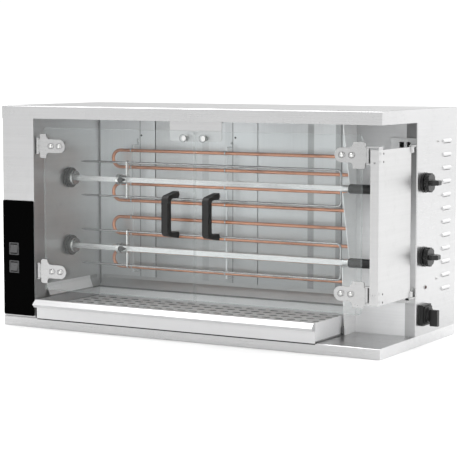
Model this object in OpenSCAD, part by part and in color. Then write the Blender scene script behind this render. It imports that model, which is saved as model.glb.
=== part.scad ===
// Two-spit electric skewer grill: a table-top stainless cabinet with glass doors, four tubular
// heaters on the back wall, two motor-driven spits with long forks and a drip drawer below.
// Lengths are millimetres. X runs left to right, Y from front to back, Z up.
// Every sub-part is drawn from the cabinet's lower front left corner and then moved so that the
// origin lies at the centre of the base, on the surface that the grill stands on.

/* [Cabinet] */
// Width over both side covers
body_w = 1000; // [980:5:1100]
// Depth from the front edge to the rear panel
body_d = 410; // [400:5:450]
// Height from the table to the top
body_h = 530; // [520:5:560]
// Height of the base slab
base_h = 24; // [22:1:26]
// Height of the top cap
cap_h = 30; // [26:1:34]
// Thickness of the cabinet sheet
sheet_t = 1.5; // [1.2:0.1:1.6]
// Radius of the folded edges of cap and base
fold_r = 4; // [3:0.5:5]
// Width of the drive column on the left
drive_w = 92; // [90:1:96]
// Width of the electric column on the right
electric_w = 150; // [145:1:155]
// How far the electric column stands behind the front
electric_setback = 186; // [184:1:190]
// Depth of the cooking cavity to its back wall
cavity_d = 275; // [272:1:280]

/* [Doors] */
// Thickness of the toughened glass
glass_t = 6; // [5:0.5:6]
// Distance of the glass from the cabinet front
glass_setback = 12; // [11.5:0.5:13]
// Gap between the base slab and the glass
glass_low_gap = 68; // [64:1:70]
// Gap between the glass and the top cap
glass_top_gap = 22; // [16:1:26]
// Gap between the two doors
door_gap = 4; // [3:0.5:6]
// Height of the lower hinges above the glass's lower edge
hinge_low_inset = 44; // [42:1:48]
// Distance of the upper hinges from the glass's upper edge
hinge_top_inset = 43; // [40:1:48]
// Length of the moulded door handles
handle_h = 106.5; // [100:0.5:114]
// How far a handle stands out from the glass
handle_out = 50; // [44:1:54]

/* [Spits] */
// Side of the square spit bar
spit_bar = 12; // [10:0.5:12.5]
// Height of the lower spit above the table
spit_z_low = 186; // [184:1:190]
// Height step from the lower to the upper spit
spit_step = 166; // [164:1:170]
// Distance of the spits from the cabinet front
spit_y = 144; // [142:1:146]
// Distance of each fork prong from the spit's axis
prong_offset = 41; // [38:1:44]
// Diameter of the fork rod
prong_d = 5; // [4:0.5:6]
// Diameter of the black spit grips
grip_d = 22; // [20:1:24]
// Length of the spit grips
grip_len = 100; // [90:2:104]

/* [Heaters] */
// Diameter of the heater tube
heater_d = 8; // [6.5:0.5:8.5]
// Height step from one heater run to the next
heater_pitch = 41.3; // [40:0.1:42]
// Height of the lowest heater run
heater_z0 = 127.5; // [126:0.5:130]
// Distance of the heaters from the back wall
heater_gap = 30; // [27:1:34]

/* [Drip drawer] */
// Height of the drawer's front
tray_h = 43.5; // [38:0.5:46]
// Gap beside the drawer's front
tray_side_gap = 5.5; // [5:0.5:8]
// How far the folded lip stands out
lip_out = 19; // [14:1:22]
// Rows of slots in the insert
slot_rows = 7; // [4:1:8]
// Slots in each row
slot_cols = 22; // [12:1:24]

/* [Side cover] */
// Number of louvres
louvre_count = 12; // [6:1:12]
// Height step from one louvre to the next
louvre_pitch = 30.7; // [26:0.1:31]
// Diameter of the knob bodies
knob_d = 43; // [38:1:46]

/* [Hidden] */
$fn = 48;

// Clearances
seat = 0.3;       // between a piece and the moving piece that rests or passes beside it
running = 0.05;   // radial play of a shaft in its bore
weld_gap = 0.05;  // play between a sheet and a strip spot-welded under it
eps = 1;          // overshoot of a cut past the face that it opens

// Cabinet planes
bend_r = 3;
cap_z = body_h - cap_h;
cav_l = drive_w;
cav_r = body_w - electric_w;
rear_y = body_d - sheet_t;
drive_face = cav_l - sheet_t;
cover_x = body_w - sheet_t;
wall_x1 = cav_r + sheet_t;
roof_window_y = 30;
reflector_at = [0, 168, 456.6, 679];
reflector_joints = concat(at(cav_l, reflector_at), [cav_r]);
reflector_fold = 18;
rear_slot = [56, 5];
rear_slot_pitch = 16;
rear_slot_z = [cap_z - 120, cap_z - 40];
rear_slot_x = [46, body_w - 75];

// Door glass
glass_z0 = base_h + glass_low_gap;
glass_z1 = cap_z - glass_top_gap;
glass_back = glass_setback + glass_t;
glass_inset = 16;
glass_corner_r = 4;

// Door hinges
hinge_z_low = glass_z0 + hinge_low_inset;
hinge_z_high = glass_z1 - hinge_top_inset;
hinge_z = [hinge_z_low, hinge_z_high];
leaf_t = 2.5;
pivot_y = glass_setback - leaf_t / 2;
pivot_l = cav_l + 5;
pivot_r = body_w - 37;
door_mid = (pivot_l + pivot_r) / 2;
tongue_w = 32;
tongue_end = 63;
root_half = 28.5;
root_reach = [25, 35];
root_corner_r = 5;
flare_top_r = 11;
flare_low_r = 8;
knuckle_r = 4.5;
pin_r = 2.5;
pin_len = 11;
lug_t = 3;
lug_r = 5;
lug_gap = 0.5;
lug_half = tongue_w / 2 + lug_gap;
flange_t = 2;
wall_arm_y = [pivot_y, 40];
wall_arm_end = 3;
wall_flange_y = [20, 52];
guard_arm_y = at(pivot_y, [-4, 4]);
guard_flange_y = [4, 24];
bolt_offsets = [38.5, 62];
bolt_r = 4;
bolt_head_r = 5.5;
bolt_head_h = 3;
bolt_dome_r = 6.6;
nut_t = 2.5;
clamp_t = 2;
clamp_size = [46, 20];

// Door handles
handle_offset = [48, 58.5];
handle_w = 16;
handle_t = 16;
handle_arm = 14.8;
handle_taper = 8.8;
handle_outer_r = 13;
handle_inner_r = 8;
handle_z = (glass_z0 + glass_z1) / 2 + 3;
handle_screw_r = 2.5;
handle_screw_len = 14;

// Magnet catch
strike_offset = 25.6;
strike_r = 8;
strike_t = 0.7;
strike_z = glass_z1 - 16;
catch_half = 68.5;
catch_t = 1.5;
catch_depth = 24;
catch_corner_r = 9;
magnet_len = 6.5;

// Side guard
guard_x1 = body_w - 7;
guard_strip = 19.5;
guard_z0 = hinge_z_low - 21;
guard_z1 = hinge_z_high + 12.5;
guard_pin_y = electric_setback - 15;
guard_pin_x = guard_x1 - sheet_t / 2;
guard_knuckle_r = 5.5;
guard_knuckle_len = 12;
guard_pin_r = 3;
guard_pin_len = 14;
guard_lug_r = 6.5;
guard_edge_y = guard_pin_y - 3;
guard_hole_r = 2;
guard_hole_z = [hinge_z_low + 2, hinge_z_high - 15];
bracket_t = 3;
bracket_x = [body_w - 64, body_w - 0.5];
bracket_above = 18;
bracket_below = [16, 6];
window_x = [[-42.5, -31.5], [-24.5, -16]];
window_z = [3, 10];

// Spits
spit_z_high = spit_z_low + spit_step;
spit_z = [spit_z_low, spit_z_high];
socket_x0 = cav_l + 9;
socket_len = 12;
socket_x1 = socket_x0 + socket_len;
socket_r = 17;
socket_groove_r = 1.2;
engage = 10;
bar_lead = 4;
disc_r = 24.5;
disc_t = 8;
shaft_r = 8;
bush_r = 11;
bush_flange_r = 15;
bush_flange_t = 2;
journal_r = 8;
journal_x0 = cav_r - 9;
journal_x1 = cav_r + 6;
stub_r = 5;
stub_len = grip_len - 20;
grip_edge = [1, 1.5];
grip_end = [4, 4];
grip_taper = 0.8;
fork_ends = [36, 16];
fork_x0 = cav_l + fork_ends[0];
fork_x1 = cav_r - fork_ends[1];
fork_corner_r = 10;
tip_len = 12;
tip_r = 0.6;
slider_at = 144;
slider_x0 = cav_l + slider_at;
slider_disc_t = 10;
slider_sleeve_len = 16;
slider_plate_t = 3;
slider_disc_r = 13;
slider_sleeve_r = 11;
slider_plate_w = 10;
slider_plate_over = 6;
screw_r = 3;
screw_head_r = 6.5;
screw_head_len = 7;
screw_collar = 3;
screw_flute_r = 0.9;

// Gearmotors
gearbox_w = 58.5;
gearbox_half_y = 42;
gearbox_half_z = 38;
gearbox_stand = 10;
gearbox_neck_r = 20;
gearbox_neck_gap = 6;
gearbox_foot_r = 6;
gearbox_foot_y = 34;
gearbox_foot_z = 30;
motor_x = drive_face - 40.5;
motor_r = 33;
motor_len = 88;
motor_end_r = 30;
motor_end_len = 10;

// Notched edge of the right cavity wall
notch_back = spit_y + journal_r + 0.5;
tooth_front = spit_y - 27;
notch_rise = 17;
notch_foot = 15;

// Heaters
heater_y = cavity_d - heater_gap;
heater_r = heater_d / 2;
heater_runs = 8;
heater_z = [for (i = [0 : heater_runs - 1]) heater_z0 + i * heater_pitch];
heater_bend_r = heater_pitch / 2;
heater_bend_x = cav_l + 84;
heater_end_x = cav_r + 24;
terminal_r = 2;
terminal_len = 12;
support_at = [117, 385];
support_x = at(cav_l, support_at);
support_w = 4;
support_t = 1.5;
support_over = 14;
support_ring_t = 1.2;
support_ring_w = 3;
support_screw_z = heater_z[heater_runs - 1] + support_over + 8;
support_screw_r = 2.5;
heater_nut_r = 9;
heater_nut_t = 6;

// Drip drawer
runner_t = 1.5;
runner_w = 24;
runner_h = 20;
runner_y0 = 6;
runner_side_y0 = tooth_front + 8;
tray_t = 1.2;
tray_x0 = cav_l + tray_side_gap;
tray_x1 = cav_r - tray_side_gap;
tray_z0 = base_h + runner_t + seat;
tray_z1 = base_h + tray_h + 1;
tray_y1 = cavity_d - 12;
front_below = 3;
lip_h = 18;
lip_top = 7.5;
lip_nose = 11;
lip_low = 13;
lip_mitre = [0.4, 1.38, 0.46];
insert_z = tray_z1 - 20.5;
insert_side = 3;
insert_end = 4;
slot_border = 12;
slot_size = [22, 9];
deflector_z0 = tray_z1 + 1.5;
deflector_z1 = base_h + 69;
deflector_up = 8;
deflector_reach = tray_side_gap + 5;
deflector_back = 18;
deflector_y0 = 50;
deflector_over = 4;

// Switches on the drive column
switch_x = 33;
switch_z = [186.8, 143.5];
bezel = [28, 29.5];
bezel_t = 1.5;
bezel_r = 2;
switch_half = [12, 13];
switch_depth = 26;
switch_well = [10.5, 12, 9];
rocker_half = [10, 9.5];
rocker_pin_r = 1.5;
rocker_pin_y = 4;
rocker_out = [6, 4.4, 3.6, 3.2];
rocker_steps = [-4, 1];
panel_t = 2;
panel_x = [0.8, cav_l - 1.7];
panel_z = [base_h + 2.6, 303.5];
panel_corner_r = 4;

// Controls on the electric column
knob_y = electric_setback + 41;
knob_above_spit = 14;
knob_z = at(knob_above_spit, spit_z);
knob_r = knob_d / 2;
knob_skirt_h = 4;
knob_neck_h = 7;
knob_neck_in = 5;
knob_body_h = 10;
knob_grip_h = 20;
knob_grip_w = 11;
knob_edge_r = 2.5;
knob_flutes = 8;
knob_flute_r = 6;
knob_hollow_r = 24;
knob_hollow_at = [9, 8];
knob_shaft_r = 3;
knob_shaft_len = 14;
regulator_size = [34, 40, 44];
regulator_neck_r = 8;
regulator_neck_len = 4;
main_y = electric_setback + 38;
main_z = 70;
main_plate = 47;
main_plate_t = 14.5;
main_step = 4;
main_body = [46, 42, 42];
main_neck_r = 12;
main_shaft_r = 4;
main_shaft_in = 5;
main_hub_r = 17;
main_hub_t = 5;
main_grip_t = 18;
main_grip_z = [-25, 12];
main_grip_w = 12;
lamp_y = electric_setback + 51;
lamp_z = 130;
lamp_r = 4;
lamp_rim_r = 5;
lamp_rim_t = 1;
lamp_dome_r = 4.5;
lamp_dome_h = 2.6;
lamp_lens_r = 3.6;
lamp_nut_r = 6.5;
lamp_nut_t = 4;
lamp_body_len = 14;
louvre_y = [body_d - 84, body_d - 34];
louvre_z1 = cap_z - 46;
louvre_r = 5.4;
louvre_out = 3.6;
louvre_wall = 1;
louvre_foot = sqrt(pow(louvre_r, 2) - pow(louvre_r - louvre_out, 2));
louvre_mouth = 1.7;

// Supply
gland_x = body_w - 80;
gland_z = 62;
gland_bore_r = 5;
gland_thread_r = 10;
gland_nut_r = 15;
gland_lock_r = 14;
gland_nut_t = 6;
terminal_count = 5;
terminal_pitch = 14;
terminal_x0 = cav_r + 22;
terminal_y = [rear_y - 58.5, rear_y - 34.5];
terminal_h = [14, 20];
terminal_screw_r = 2.5;

// Housing screws
side_screw_y = electric_setback + 113;
side_screw_z = [base_h + 119, cap_z - 45];
side_screw_r = 3.2;
side_screw_h = 1.6;
rear_screw_edge = [12, 14];
rear_screw_inner = [140, 60];
rear_screw_x = [
    rear_screw_edge[0], cav_l + rear_screw_inner[0], door_mid,
    cav_r - rear_screw_inner[1], body_w - rear_screw_edge[0]
];
rear_screw_z = [base_h + rear_screw_edge[1], cap_z - rear_screw_edge[1]];
rear_screw_r = 3.5;
rear_screw_h = 1.8;

// Colours
c_steel = [0.80, 0.81, 0.81];
c_bright = [0.92, 0.93, 0.93];
c_dark_steel = [0.55, 0.56, 0.57];
c_black = [0.13, 0.13, 0.14];
c_glass = [0.75, 0.85, 0.88, 0.35];
c_copper = [0.80, 0.47, 0.33];
c_brass = [0.78, 0.62, 0.32];
c_motor = [0.35, 0.37, 0.40];
c_rocker = [0.22, 0.22, 0.23];
c_pale = [0.87, 0.85, 0.78];

// ---- helpers ----

// Two or more offsets v, counted from c
function at(c, v) = [for (e = v) c + e];

// An offset to both sides
function both(r) = [-r, r];

module placed() {
    translate([-body_w / 2, -body_d / 2, 0]) children();
}

module box(x, y, z) {
    translate([x[0], y[0], z[0]]) cube([x[1] - x[0], y[1] - y[0], z[1] - z[0]]);
}

// A round bar along X, from x[0] to x[1]
module rod_x(r, x, y, z) {
    translate([x[0], y, z]) rotate([0, 90, 0]) cylinder(r = r, h = x[1] - x[0]);
}

// A round bar along Y, from y[0] to y[1]
module rod_y(r, x, y, z) {
    translate([x, y[1], z]) rotate([90, 0, 0]) cylinder(r = r, h = y[1] - y[0]);
}

// A round bar along Z, from z[0] to z[1]
module rod_z(r, x, y, z) {
    translate([x, y, z[0]]) cylinder(r = r, h = z[1] - z[0]);
}

// An outline in (Y, Z), extruded from x[0] to x[1]
module along_x(x) {
    translate([x[0], 0, 0]) rotate([90, 0, 90]) linear_extrude(x[1] - x[0]) children();
}

// An outline in (X, Z), extruded from y[0] to y[1]
module along_y(y) {
    translate([0, y[1], 0]) rotate([90, 0, 0]) linear_extrude(y[1] - y[0]) children();
}

// An outline in (X, Y), extruded from z[0] to z[1]
module along_z(z) {
    translate([0, 0, z[0]]) linear_extrude(z[1] - z[0]) children();
}

module rect(a, b) {
    translate(a) square([b[0] - a[0], b[1] - a[1]]);
}

// A rectangle from corner a to corner b with round corners
module round_rect(a, b, r) {
    rect([a[0] + r, a[1]], [b[0] - r, b[1]]);
    rect([a[0], a[1] + r], [b[0], b[1] - r]);
    for (x = [a[0] + r, b[0] - r], y = [a[1] + r, b[1] - r]) translate([x, y]) circle(r);
}

// A slot outline of length len along X and width w, centred at c
module slot(c, len, w) {
    translate(c) {
        square([len - w, w], center = true);
        for (s = [-1, 1]) translate([s * (len - w) / 2, 0]) circle(w / 2);
    }
}

// Plan of an L of bent sheet: legs of length a along X and b along Y from a round corner at the origin
module bent_plan(a, b) {
    rect([bend_r, 0], [a, sheet_t]);
    rect([0, bend_r], [sheet_t, b]);
    intersection() {
        translate([bend_r, bend_r]) difference() {
            circle(bend_r);
            circle(bend_r - sheet_t);
        }
        square(bend_r);
    }
}

// A concave quarter fillet of radius r in the corner at c; up is 1 or -1
module flare(c, r, up) {
    difference() {
        rect([c[0] - eps, c[1] + min(0, up * r)], [c[0] + r, c[1] + max(0, up * r)]);
        translate([c[0] + r, c[1] + up * r]) circle(r);
    }
}

// Reflects the left door's pieces to the right door
module to_right_door() {
    translate([2 * door_mid, 0, 0]) mirror([1, 0, 0]) children();
}

// ---- cabinet ----

// Outline of a folded slab's section: flat below, folded edges front and back
module slab_section(y0, y1, z0, z1, r) {
    rect([y0, z0], [y1, z1 - r]);
    rect([y0 + r, z0], [y1 - r, z1]);
    for (y = [y0 + r, y1 - r]) translate([y, z1 - r]) circle(r);
}

// A shallow folded box, open below
module folded_slab(z0, z1) {
    difference() {
        along_x([0, body_w]) slab_section(0, body_d, z0, z1, fold_r);
        along_x([sheet_t, cover_x])
            slab_section(sheet_t, rear_y, z0 - eps, z1 - sheet_t, fold_r - sheet_t);
    }
}

module base_pan() {
    color(c_steel) placed() folded_slab(0, base_h);
}

module base_cover() {
    color(c_dark_steel) placed() box([sheet_t, cover_x], [sheet_t, rear_y], [0, sheet_t]);
}

module top_cap() {
    color(c_steel) placed() folded_slab(cap_z, body_h);
}

// Roof sheet with an open window over the drive column
module cavity_roof() {
    color(c_steel) placed() difference() {
        box([sheet_t, cover_x], [sheet_t, rear_y], at(cap_z, [0, sheet_t]));
        box([sheet_t - eps, drive_face], [roof_window_y, body_d], at(cap_z, [-eps, 2 * sheet_t]));
    }
}

// Side and front of the drive column, bent from one sheet
module left_cover() {
    color(c_steel) placed() difference() {
        along_z([base_h, cap_z]) bent_plan(cav_l, rear_y);
        for (z = switch_z)
            box(at(switch_x, both(switch_half[0])), [-eps, sheet_t + eps], at(z, both(switch_half[1])));
    }
}

module left_cavity_wall() {
    color(c_dark_steel) placed() difference() {
        box([drive_face, cav_l], [sheet_t, rear_y], [base_h, cap_z]);
        for (z = spit_z) rod_x(bush_r, [drive_face - eps, cav_l + eps], spit_y, z);
    }
}

// One pressed louvre: half a capsule, open along its lower side
module louvre_body(r) {
    y = louvre_y + [louvre_r, -louvre_r];
    x = body_w + louvre_out - louvre_r;
    rod_y(r, x, y, 0);
    for (e = y) translate([x, e, 0]) sphere(r);
}

// Side and front of the electric column, bent from one sheet, with louvres and control holes
module right_cover() {
    louvres = [for (i = [0 : louvre_count - 1]) louvre_z1 - i * louvre_pitch];
    mouth = [-louvre_foot, louvre_mouth - louvre_foot];
    through = [cover_x - sheet_t, body_w + eps];
    color(c_bright) placed() difference() {
        union() {
            along_z([base_h, cap_z]) translate([body_w, electric_setback]) mirror([1, 0])
                bent_plan(electric_w - sheet_t, rear_y - electric_setback);
            for (z = louvres) intersection() {
                translate([0, 0, z]) louvre_body(louvre_r);
                box([body_w - sheet_t / 2, body_w + 2 * louvre_out], louvre_y, at(z, both(2 * louvre_r)));
            }
        }
        for (z = louvres) {
            translate([0, 0, z]) louvre_body(louvre_r - louvre_wall);
            box([cover_x - sheet_t, body_w + louvre_out - louvre_wall],
                louvre_y + [louvre_r, -louvre_r], at(z, mouth));
        }
        for (z = knob_z) rod_x(stub_r, through, knob_y, z);
        rod_x(main_neck_r, through, main_y, main_z);
        rod_x(lamp_r, through, lamp_y, lamp_z);
        guard_windows();
    }
}

// Front edge of the right wall: two sloped teeth, each with a notch that a spit journal lies in
module notched_outline() {
    hi = spit_z_high - journal_r - seat;
    lo = spit_z_low - journal_r - seat;
    polygon([
        [rear_y, base_h], [rear_y, cap_z], [tooth_front, cap_z],
        [notch_back, hi + notch_rise], [notch_back, hi], [tooth_front, hi],
        [notch_back, lo + notch_rise], [notch_back, lo], [tooth_front, lo],
        [tooth_front + notch_foot, base_h]
    ]);
}

module right_cavity_wall() {
    color(c_steel) placed() difference() {
        along_x([cav_r, wall_x1]) notched_outline();
        for (z = heater_z) rod_x(heater_r, [cav_r - eps, wall_x1 + eps], heater_y, z);
    }
}

// Rear panel with two groups of vent slots and the hole for the inlet gland
module rear_panel() {
    color(c_steel) placed() difference() {
        box([0, body_w], [rear_y, body_d], [base_h, cap_z]);
        for (x = rear_slot_x, z = [rear_slot_z[0] : rear_slot_pitch : rear_slot_z[1]])
            along_y([rear_y - eps, body_d + eps]) slot([x, z], rear_slot[0], rear_slot[1]);
        rod_y(gland_thread_r, gland_x, [rear_y - eps, body_d + eps], gland_z);
    }
}

// The back wall is made of four reflector panels, each with a folded edge behind the joint
module cavity_back() {
    last = len(reflector_joints) - 1;
    color(c_steel) placed() for (i = [1 : last]) {
        x0 = reflector_joints[i - 1] + (i == 1 ? 0 : 1);
        x1 = reflector_joints[i] - (i == last ? 0 : 1);
        box([x0, x1], at(cavity_d, [0, sheet_t]), [base_h, cap_z]);
        for (x = [x0, x1 - sheet_t])
            box(at(x, [0, sheet_t]), at(cavity_d, [sheet_t, reflector_fold]), [base_h, cap_z]);
    }
}

// ---- controls on the drive column ----

module control_panel() {
    color(c_black) placed() difference() {
        along_y([-panel_t, 0])
            round_rect([panel_x[0], panel_z[0]], [panel_x[1], panel_z[1]], panel_corner_r);
        for (z = switch_z)
            box(at(switch_x, both(switch_half[0])), [-panel_t - eps, eps], at(z, both(switch_half[1])));
    }
}

// Two switch housings with a bezel on the panel and a well for the rocker
module switch_bodies() {
    color(c_black) placed() for (z = switch_z) difference() {
        union() {
            along_y(at(-panel_t, [-bezel_t, 0]))
                round_rect([switch_x, z] - bezel / 2, [switch_x, z] + bezel / 2, bezel_r);
            box(at(switch_x, both(switch_half[0])), [-panel_t, switch_depth], at(z, both(switch_half[1])));
        }
        box(at(switch_x, both(switch_well[0])), [-panel_t - 2 * bezel_t, switch_well[2]],
            at(z, both(switch_well[1])));
        rod_x(rocker_pin_r + running, at(switch_x, both(switch_well[0] + eps)), rocker_pin_y, z);
    }
}

// Rocker that stands out at its lower end and turns on a pin through its middle
module rocker(z) {
    half = rocker_half[1];
    back = rocker_pin_y - 1;
    color(c_rocker) placed() {
        along_x(at(switch_x, both(rocker_half[0]))) polygon([
            [back, z - half], [-rocker_out[0], z - half], [-rocker_out[1], z + rocker_steps[0]],
            [-rocker_out[2], z + rocker_steps[1]], [-rocker_out[3], z + half], [back, z + half]
        ]);
        rod_x(rocker_pin_r, at(switch_x, both(switch_well[0] + 0.7)), rocker_pin_y, z);
        box(at(switch_x, both(rocker_half[0])), at(back, [-eps, 2]), at(z, both(2 * rocker_pin_r)));
    }
}

module rocker_upper() { rocker(switch_z[0]); }
module rocker_lower() { rocker(switch_z[1]); }

// ---- drives ----

// Right-angle gearmotors: gearbox with a hollow output and four feet on the wall, motor behind
module gearmotors() {
    gear_face = drive_face - gearbox_stand;
    y0 = spit_y + gearbox_half_y;
    y1 = y0 + motor_end_len;
    y2 = y1 + motor_len;
    color(c_motor) placed() for (z = spit_z) difference() {
        union() {
            box([drive_face - gearbox_stand - gearbox_w, gear_face],
                at(spit_y, both(gearbox_half_y)), at(z, both(gearbox_half_z)));
            rod_x(gearbox_neck_r, [gear_face - eps, drive_face - gearbox_neck_gap], spit_y, z);
            for (y = both(gearbox_foot_y), dz = both(gearbox_foot_z))
                rod_x(gearbox_foot_r, [gear_face - eps, drive_face], spit_y + y, z + dz);
            rod_y(motor_end_r, motor_x, [y0, y2 + motor_end_len], z);
            rod_y(motor_r, motor_x, [y1, y2], z);
        }
        rod_x(shaft_r + running, [motor_x - 2, drive_face], spit_y, z);
    }
}

// Flanged bronze bushes in the cavity wall
module shaft_bushes() {
    color(c_brass) placed() for (z = spit_z) difference() {
        union() {
            rod_x(bush_r, [drive_face, cav_l], spit_y, z);
            rod_x(bush_flange_r, at(drive_face, [-bush_flange_t, 0]), spit_y, z);
        }
        rod_x(shaft_r + running, [drive_face - bush_flange_t - eps, cav_l + eps], spit_y, z);
    }
}

// Output shaft with a hub that has a square socket for the spit's end
module drive_coupling(z) {
    b = spit_bar / 2 + seat;
    color(c_bright) placed() difference() {
        union() {
            rod_x(shaft_r, [motor_x, socket_x0], spit_y, z);
            rod_x(socket_r, [socket_x0, socket_x1], spit_y, z);
        }
        box([socket_x1 - engage - seat, socket_x1 + eps], at(spit_y, both(b)), at(z, both(b)));
        hub_groove((socket_x0 + socket_x1) / 2 + 1, z);
    }
}

// A shallow groove round the socket hub
module hub_groove(x, z) {
    translate([x, spit_y, z]) rotate([0, 90, 0]) rotate_extrude()
        translate([socket_r, 0]) circle(r = socket_groove_r, $fn = 16);
}

module drive_coupling_upper() { drive_coupling(spit_z_high); }
module drive_coupling_lower() { drive_coupling(spit_z_low); }

// Dark heat-shield disc between the cavity wall and the socket
module drive_disc(z) {
    color(c_black) placed() difference() {
        rod_x(disc_r, at(socket_x0, [-disc_t, 0]), spit_y, z);
        rod_x(shaft_r, at(socket_x0, [-disc_t - eps, eps]), spit_y, z);
    }
}

module drive_disc_upper() { drive_disc(spit_z_high); }
module drive_disc_lower() { drive_disc(spit_z_low); }

// ---- spits ----

// Square bar with a round journal and a stub for the grip; the fork rod passes through it
module spit(z) {
    b = spit_bar / 2;
    x0 = socket_x1 - engage;
    color(c_bright) placed() difference() {
        union() {
            box([x0 + bar_lead, journal_x0], at(spit_y, both(b)), at(z, both(b)));
            box([x0, x0 + bar_lead], at(spit_y, both(b - 1)), at(z, both(b - 1)));
            rod_x(journal_r, [journal_x0, journal_x1], spit_y, z);
            rod_x(stub_r, at(journal_x1, [0, stub_len]), spit_y, z);
        }
        rod_z(prong_d / 2, fork_x1, spit_y, at(z, both(2 * b)));
    }
}

module spit_upper() { spit(spit_z_high); }
module spit_lower() { spit(spit_z_low); }

// U-shaped rod: two long pointed prongs and a cross leg through the spit
module fork(z) {
    r = prong_d / 2;
    leg = prong_offset - fork_corner_r;
    bend_x = fork_x1 - fork_corner_r;
    color(c_bright) placed() {
        rod_z(r, fork_x1, spit_y, at(z, both(leg)));
        for (s = [-1, 1]) {
            zc = z + s * prong_offset;
            rod_x(r, [fork_x0 + tip_len, bend_x], spit_y, zc);
            translate([fork_x0, spit_y, zc]) rotate([0, 90, 0])
                cylinder(r1 = tip_r, r2 = r, h = tip_len);
            translate([bend_x, spit_y, z + s * leg]) rotate([90, 0, 0])
                rotate([0, 0, s > 0 ? 0 : -90]) rotate_extrude(angle = 90)
                    translate([fork_corner_r, 0]) circle(r = r, $fn = 24);
        }
    }
}

module fork_upper() { fork(spit_z_high); }
module fork_lower() { fork(spit_z_low); }

// Sliding holder: stop disc, sleeve for the clamp screw and a strip that guides both prongs
module fork_slider(z) {
    x1 = slider_x0 + slider_disc_t;
    x2 = x1 + slider_sleeve_len;
    x3 = x2 + slider_plate_t;
    w = slider_plate_w / 2;
    end = prong_offset + slider_plate_over - w;
    b = spit_bar / 2 + seat;
    color(c_bright) placed() difference() {
        union() {
            rod_x(slider_disc_r, [slider_x0, x1], spit_y, z);
            rod_x(slider_sleeve_r, [x1, x3], spit_y, z);
            along_x([x2, x3]) {
                rect([spit_y - w, z - end], [spit_y + w, z + end]);
                for (dz = both(end)) translate([spit_y, z + dz]) circle(w);
            }
        }
        box([slider_x0 - eps, x3 + eps], at(spit_y, both(b)), at(z, both(b)));
        for (dz = both(prong_offset)) rod_x(prong_d / 2 + seat, [x2 - eps, x3 + eps], spit_y, z + dz);
        rod_y(screw_r + running, (x1 + x2) / 2, at(spit_y, [-2 * slider_disc_r, 0]), z);
    }
}

module fork_slider_upper() { fork_slider(spit_z_high); }
module fork_slider_lower() { fork_slider(spit_z_low); }

// Clamp screw with a fluted head
module thumb_screw(z) {
    x = slider_x0 + slider_disc_t + slider_sleeve_len / 2;
    tip = spit_y - spit_bar / 2 - seat / 2;
    head = spit_y - slider_sleeve_r - screw_collar;
    flute_at = screw_head_r + screw_flute_r / 3;
    color(c_dark_steel) placed() {
        rod_y(screw_r, x, [head, tip], z);
        difference() {
            rod_y(screw_head_r, x, at(head, [-screw_head_len, 0]), z);
            for (a = [0 : 36 : 324])
                rod_y(screw_flute_r, x + flute_at * cos(a), at(head, [-screw_head_len - eps, eps]),
                      z + flute_at * sin(a));
        }
    }
}

module thumb_screw_upper() { thumb_screw(spit_z_high); }
module thumb_screw_lower() { thumb_screw(spit_z_low); }

// Black grip, slightly thinner towards the free end, with a rounded end
module spit_grip(z) {
    r = grip_d / 2;
    color(c_black) placed() difference() {
        translate([journal_x1, spit_y, z]) rotate([0, 90, 0]) rotate_extrude() polygon([
            [0, 0], [r - grip_edge[0], 0], [r, grip_edge[1]],
            [r - grip_taper, grip_len - grip_end[1]], [r - grip_end[0], grip_len], [0, grip_len]
        ]);
        rod_x(stub_r, at(journal_x1, [-eps, stub_len]), spit_y, z);
    }
}

module spit_grip_upper() { spit_grip(spit_z_high); }
module spit_grip_lower() { spit_grip(spit_z_low); }

// ---- heaters ----

// Two straight runs joined by a half-round bend, with a terminal stud on each cold end
module heater_hairpin(z) {
    for (dz = [0, heater_pitch]) {
        rod_x(heater_r, [heater_bend_x, heater_end_x], heater_y, z + dz);
        rod_x(terminal_r, at(heater_end_x, [0, terminal_len]), heater_y, z + dz);
    }
    translate([heater_bend_x, heater_y, z + heater_bend_r]) rotate([90, 0, 0])
        rotate([0, 0, 90]) rotate_extrude(angle = 180)
            translate([heater_bend_r, 0]) circle(r = heater_r, $fn = 32);
}

module heating_elements() {
    color(c_copper) placed()
        for (i = [0 : 2 : heater_runs - 1]) heater_hairpin(heater_z[i]);
}

// Strips with a ring round each heater run, held off the back wall at both ends
module element_supports() {
    z0 = heater_z[0] - support_over;
    z1 = heater_z[heater_runs - 1] + support_over;
    y0 = heater_y + heater_r;
    w = both(support_w / 2);
    color(c_bright) placed() for (x = support_x) difference() {
        union() {
            box(at(x, w), at(y0, [0, support_t]), [z0, z1]);
            box(at(x, w), [y0, cavity_d], at(z0, [0, support_t]));
            box(at(x, w), [y0, cavity_d], at(z1, [-support_t, 0]));
            box(at(x, w), at(cavity_d, [-support_t, 0]), at(z1, [0, support_over]));
            for (z = heater_z)
                rod_x(heater_r + support_ring_t, at(x, both(support_ring_w / 2)), heater_y, z);
        }
        for (z = heater_z) rod_x(heater_r, at(x, both(support_w)), heater_y, z);
    }
}

// Hexagon nuts that hold the heater ends in the right wall
module element_nuts() {
    color(c_brass) placed() for (z = heater_z) difference() {
        translate([wall_x1, heater_y, z]) rotate([0, 90, 0])
            cylinder(r = heater_nut_r, h = heater_nut_t, $fn = 6);
        rod_x(heater_r, at(wall_x1, [-eps, heater_nut_t + eps]), heater_y, z);
    }
}

// ---- drip drawer ----

// Folded drawer: floor, two sides and back
module drip_tray() {
    color(c_bright) placed() difference() {
        box([tray_x0, tray_x1], [0, tray_y1], [tray_z0, tray_z1]);
        box([tray_x0 + tray_t, tray_x1 - tray_t], [-eps, tray_y1 - tray_t],
            [tray_z0 + tray_t, tray_z1 + eps]);
    }
}

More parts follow.
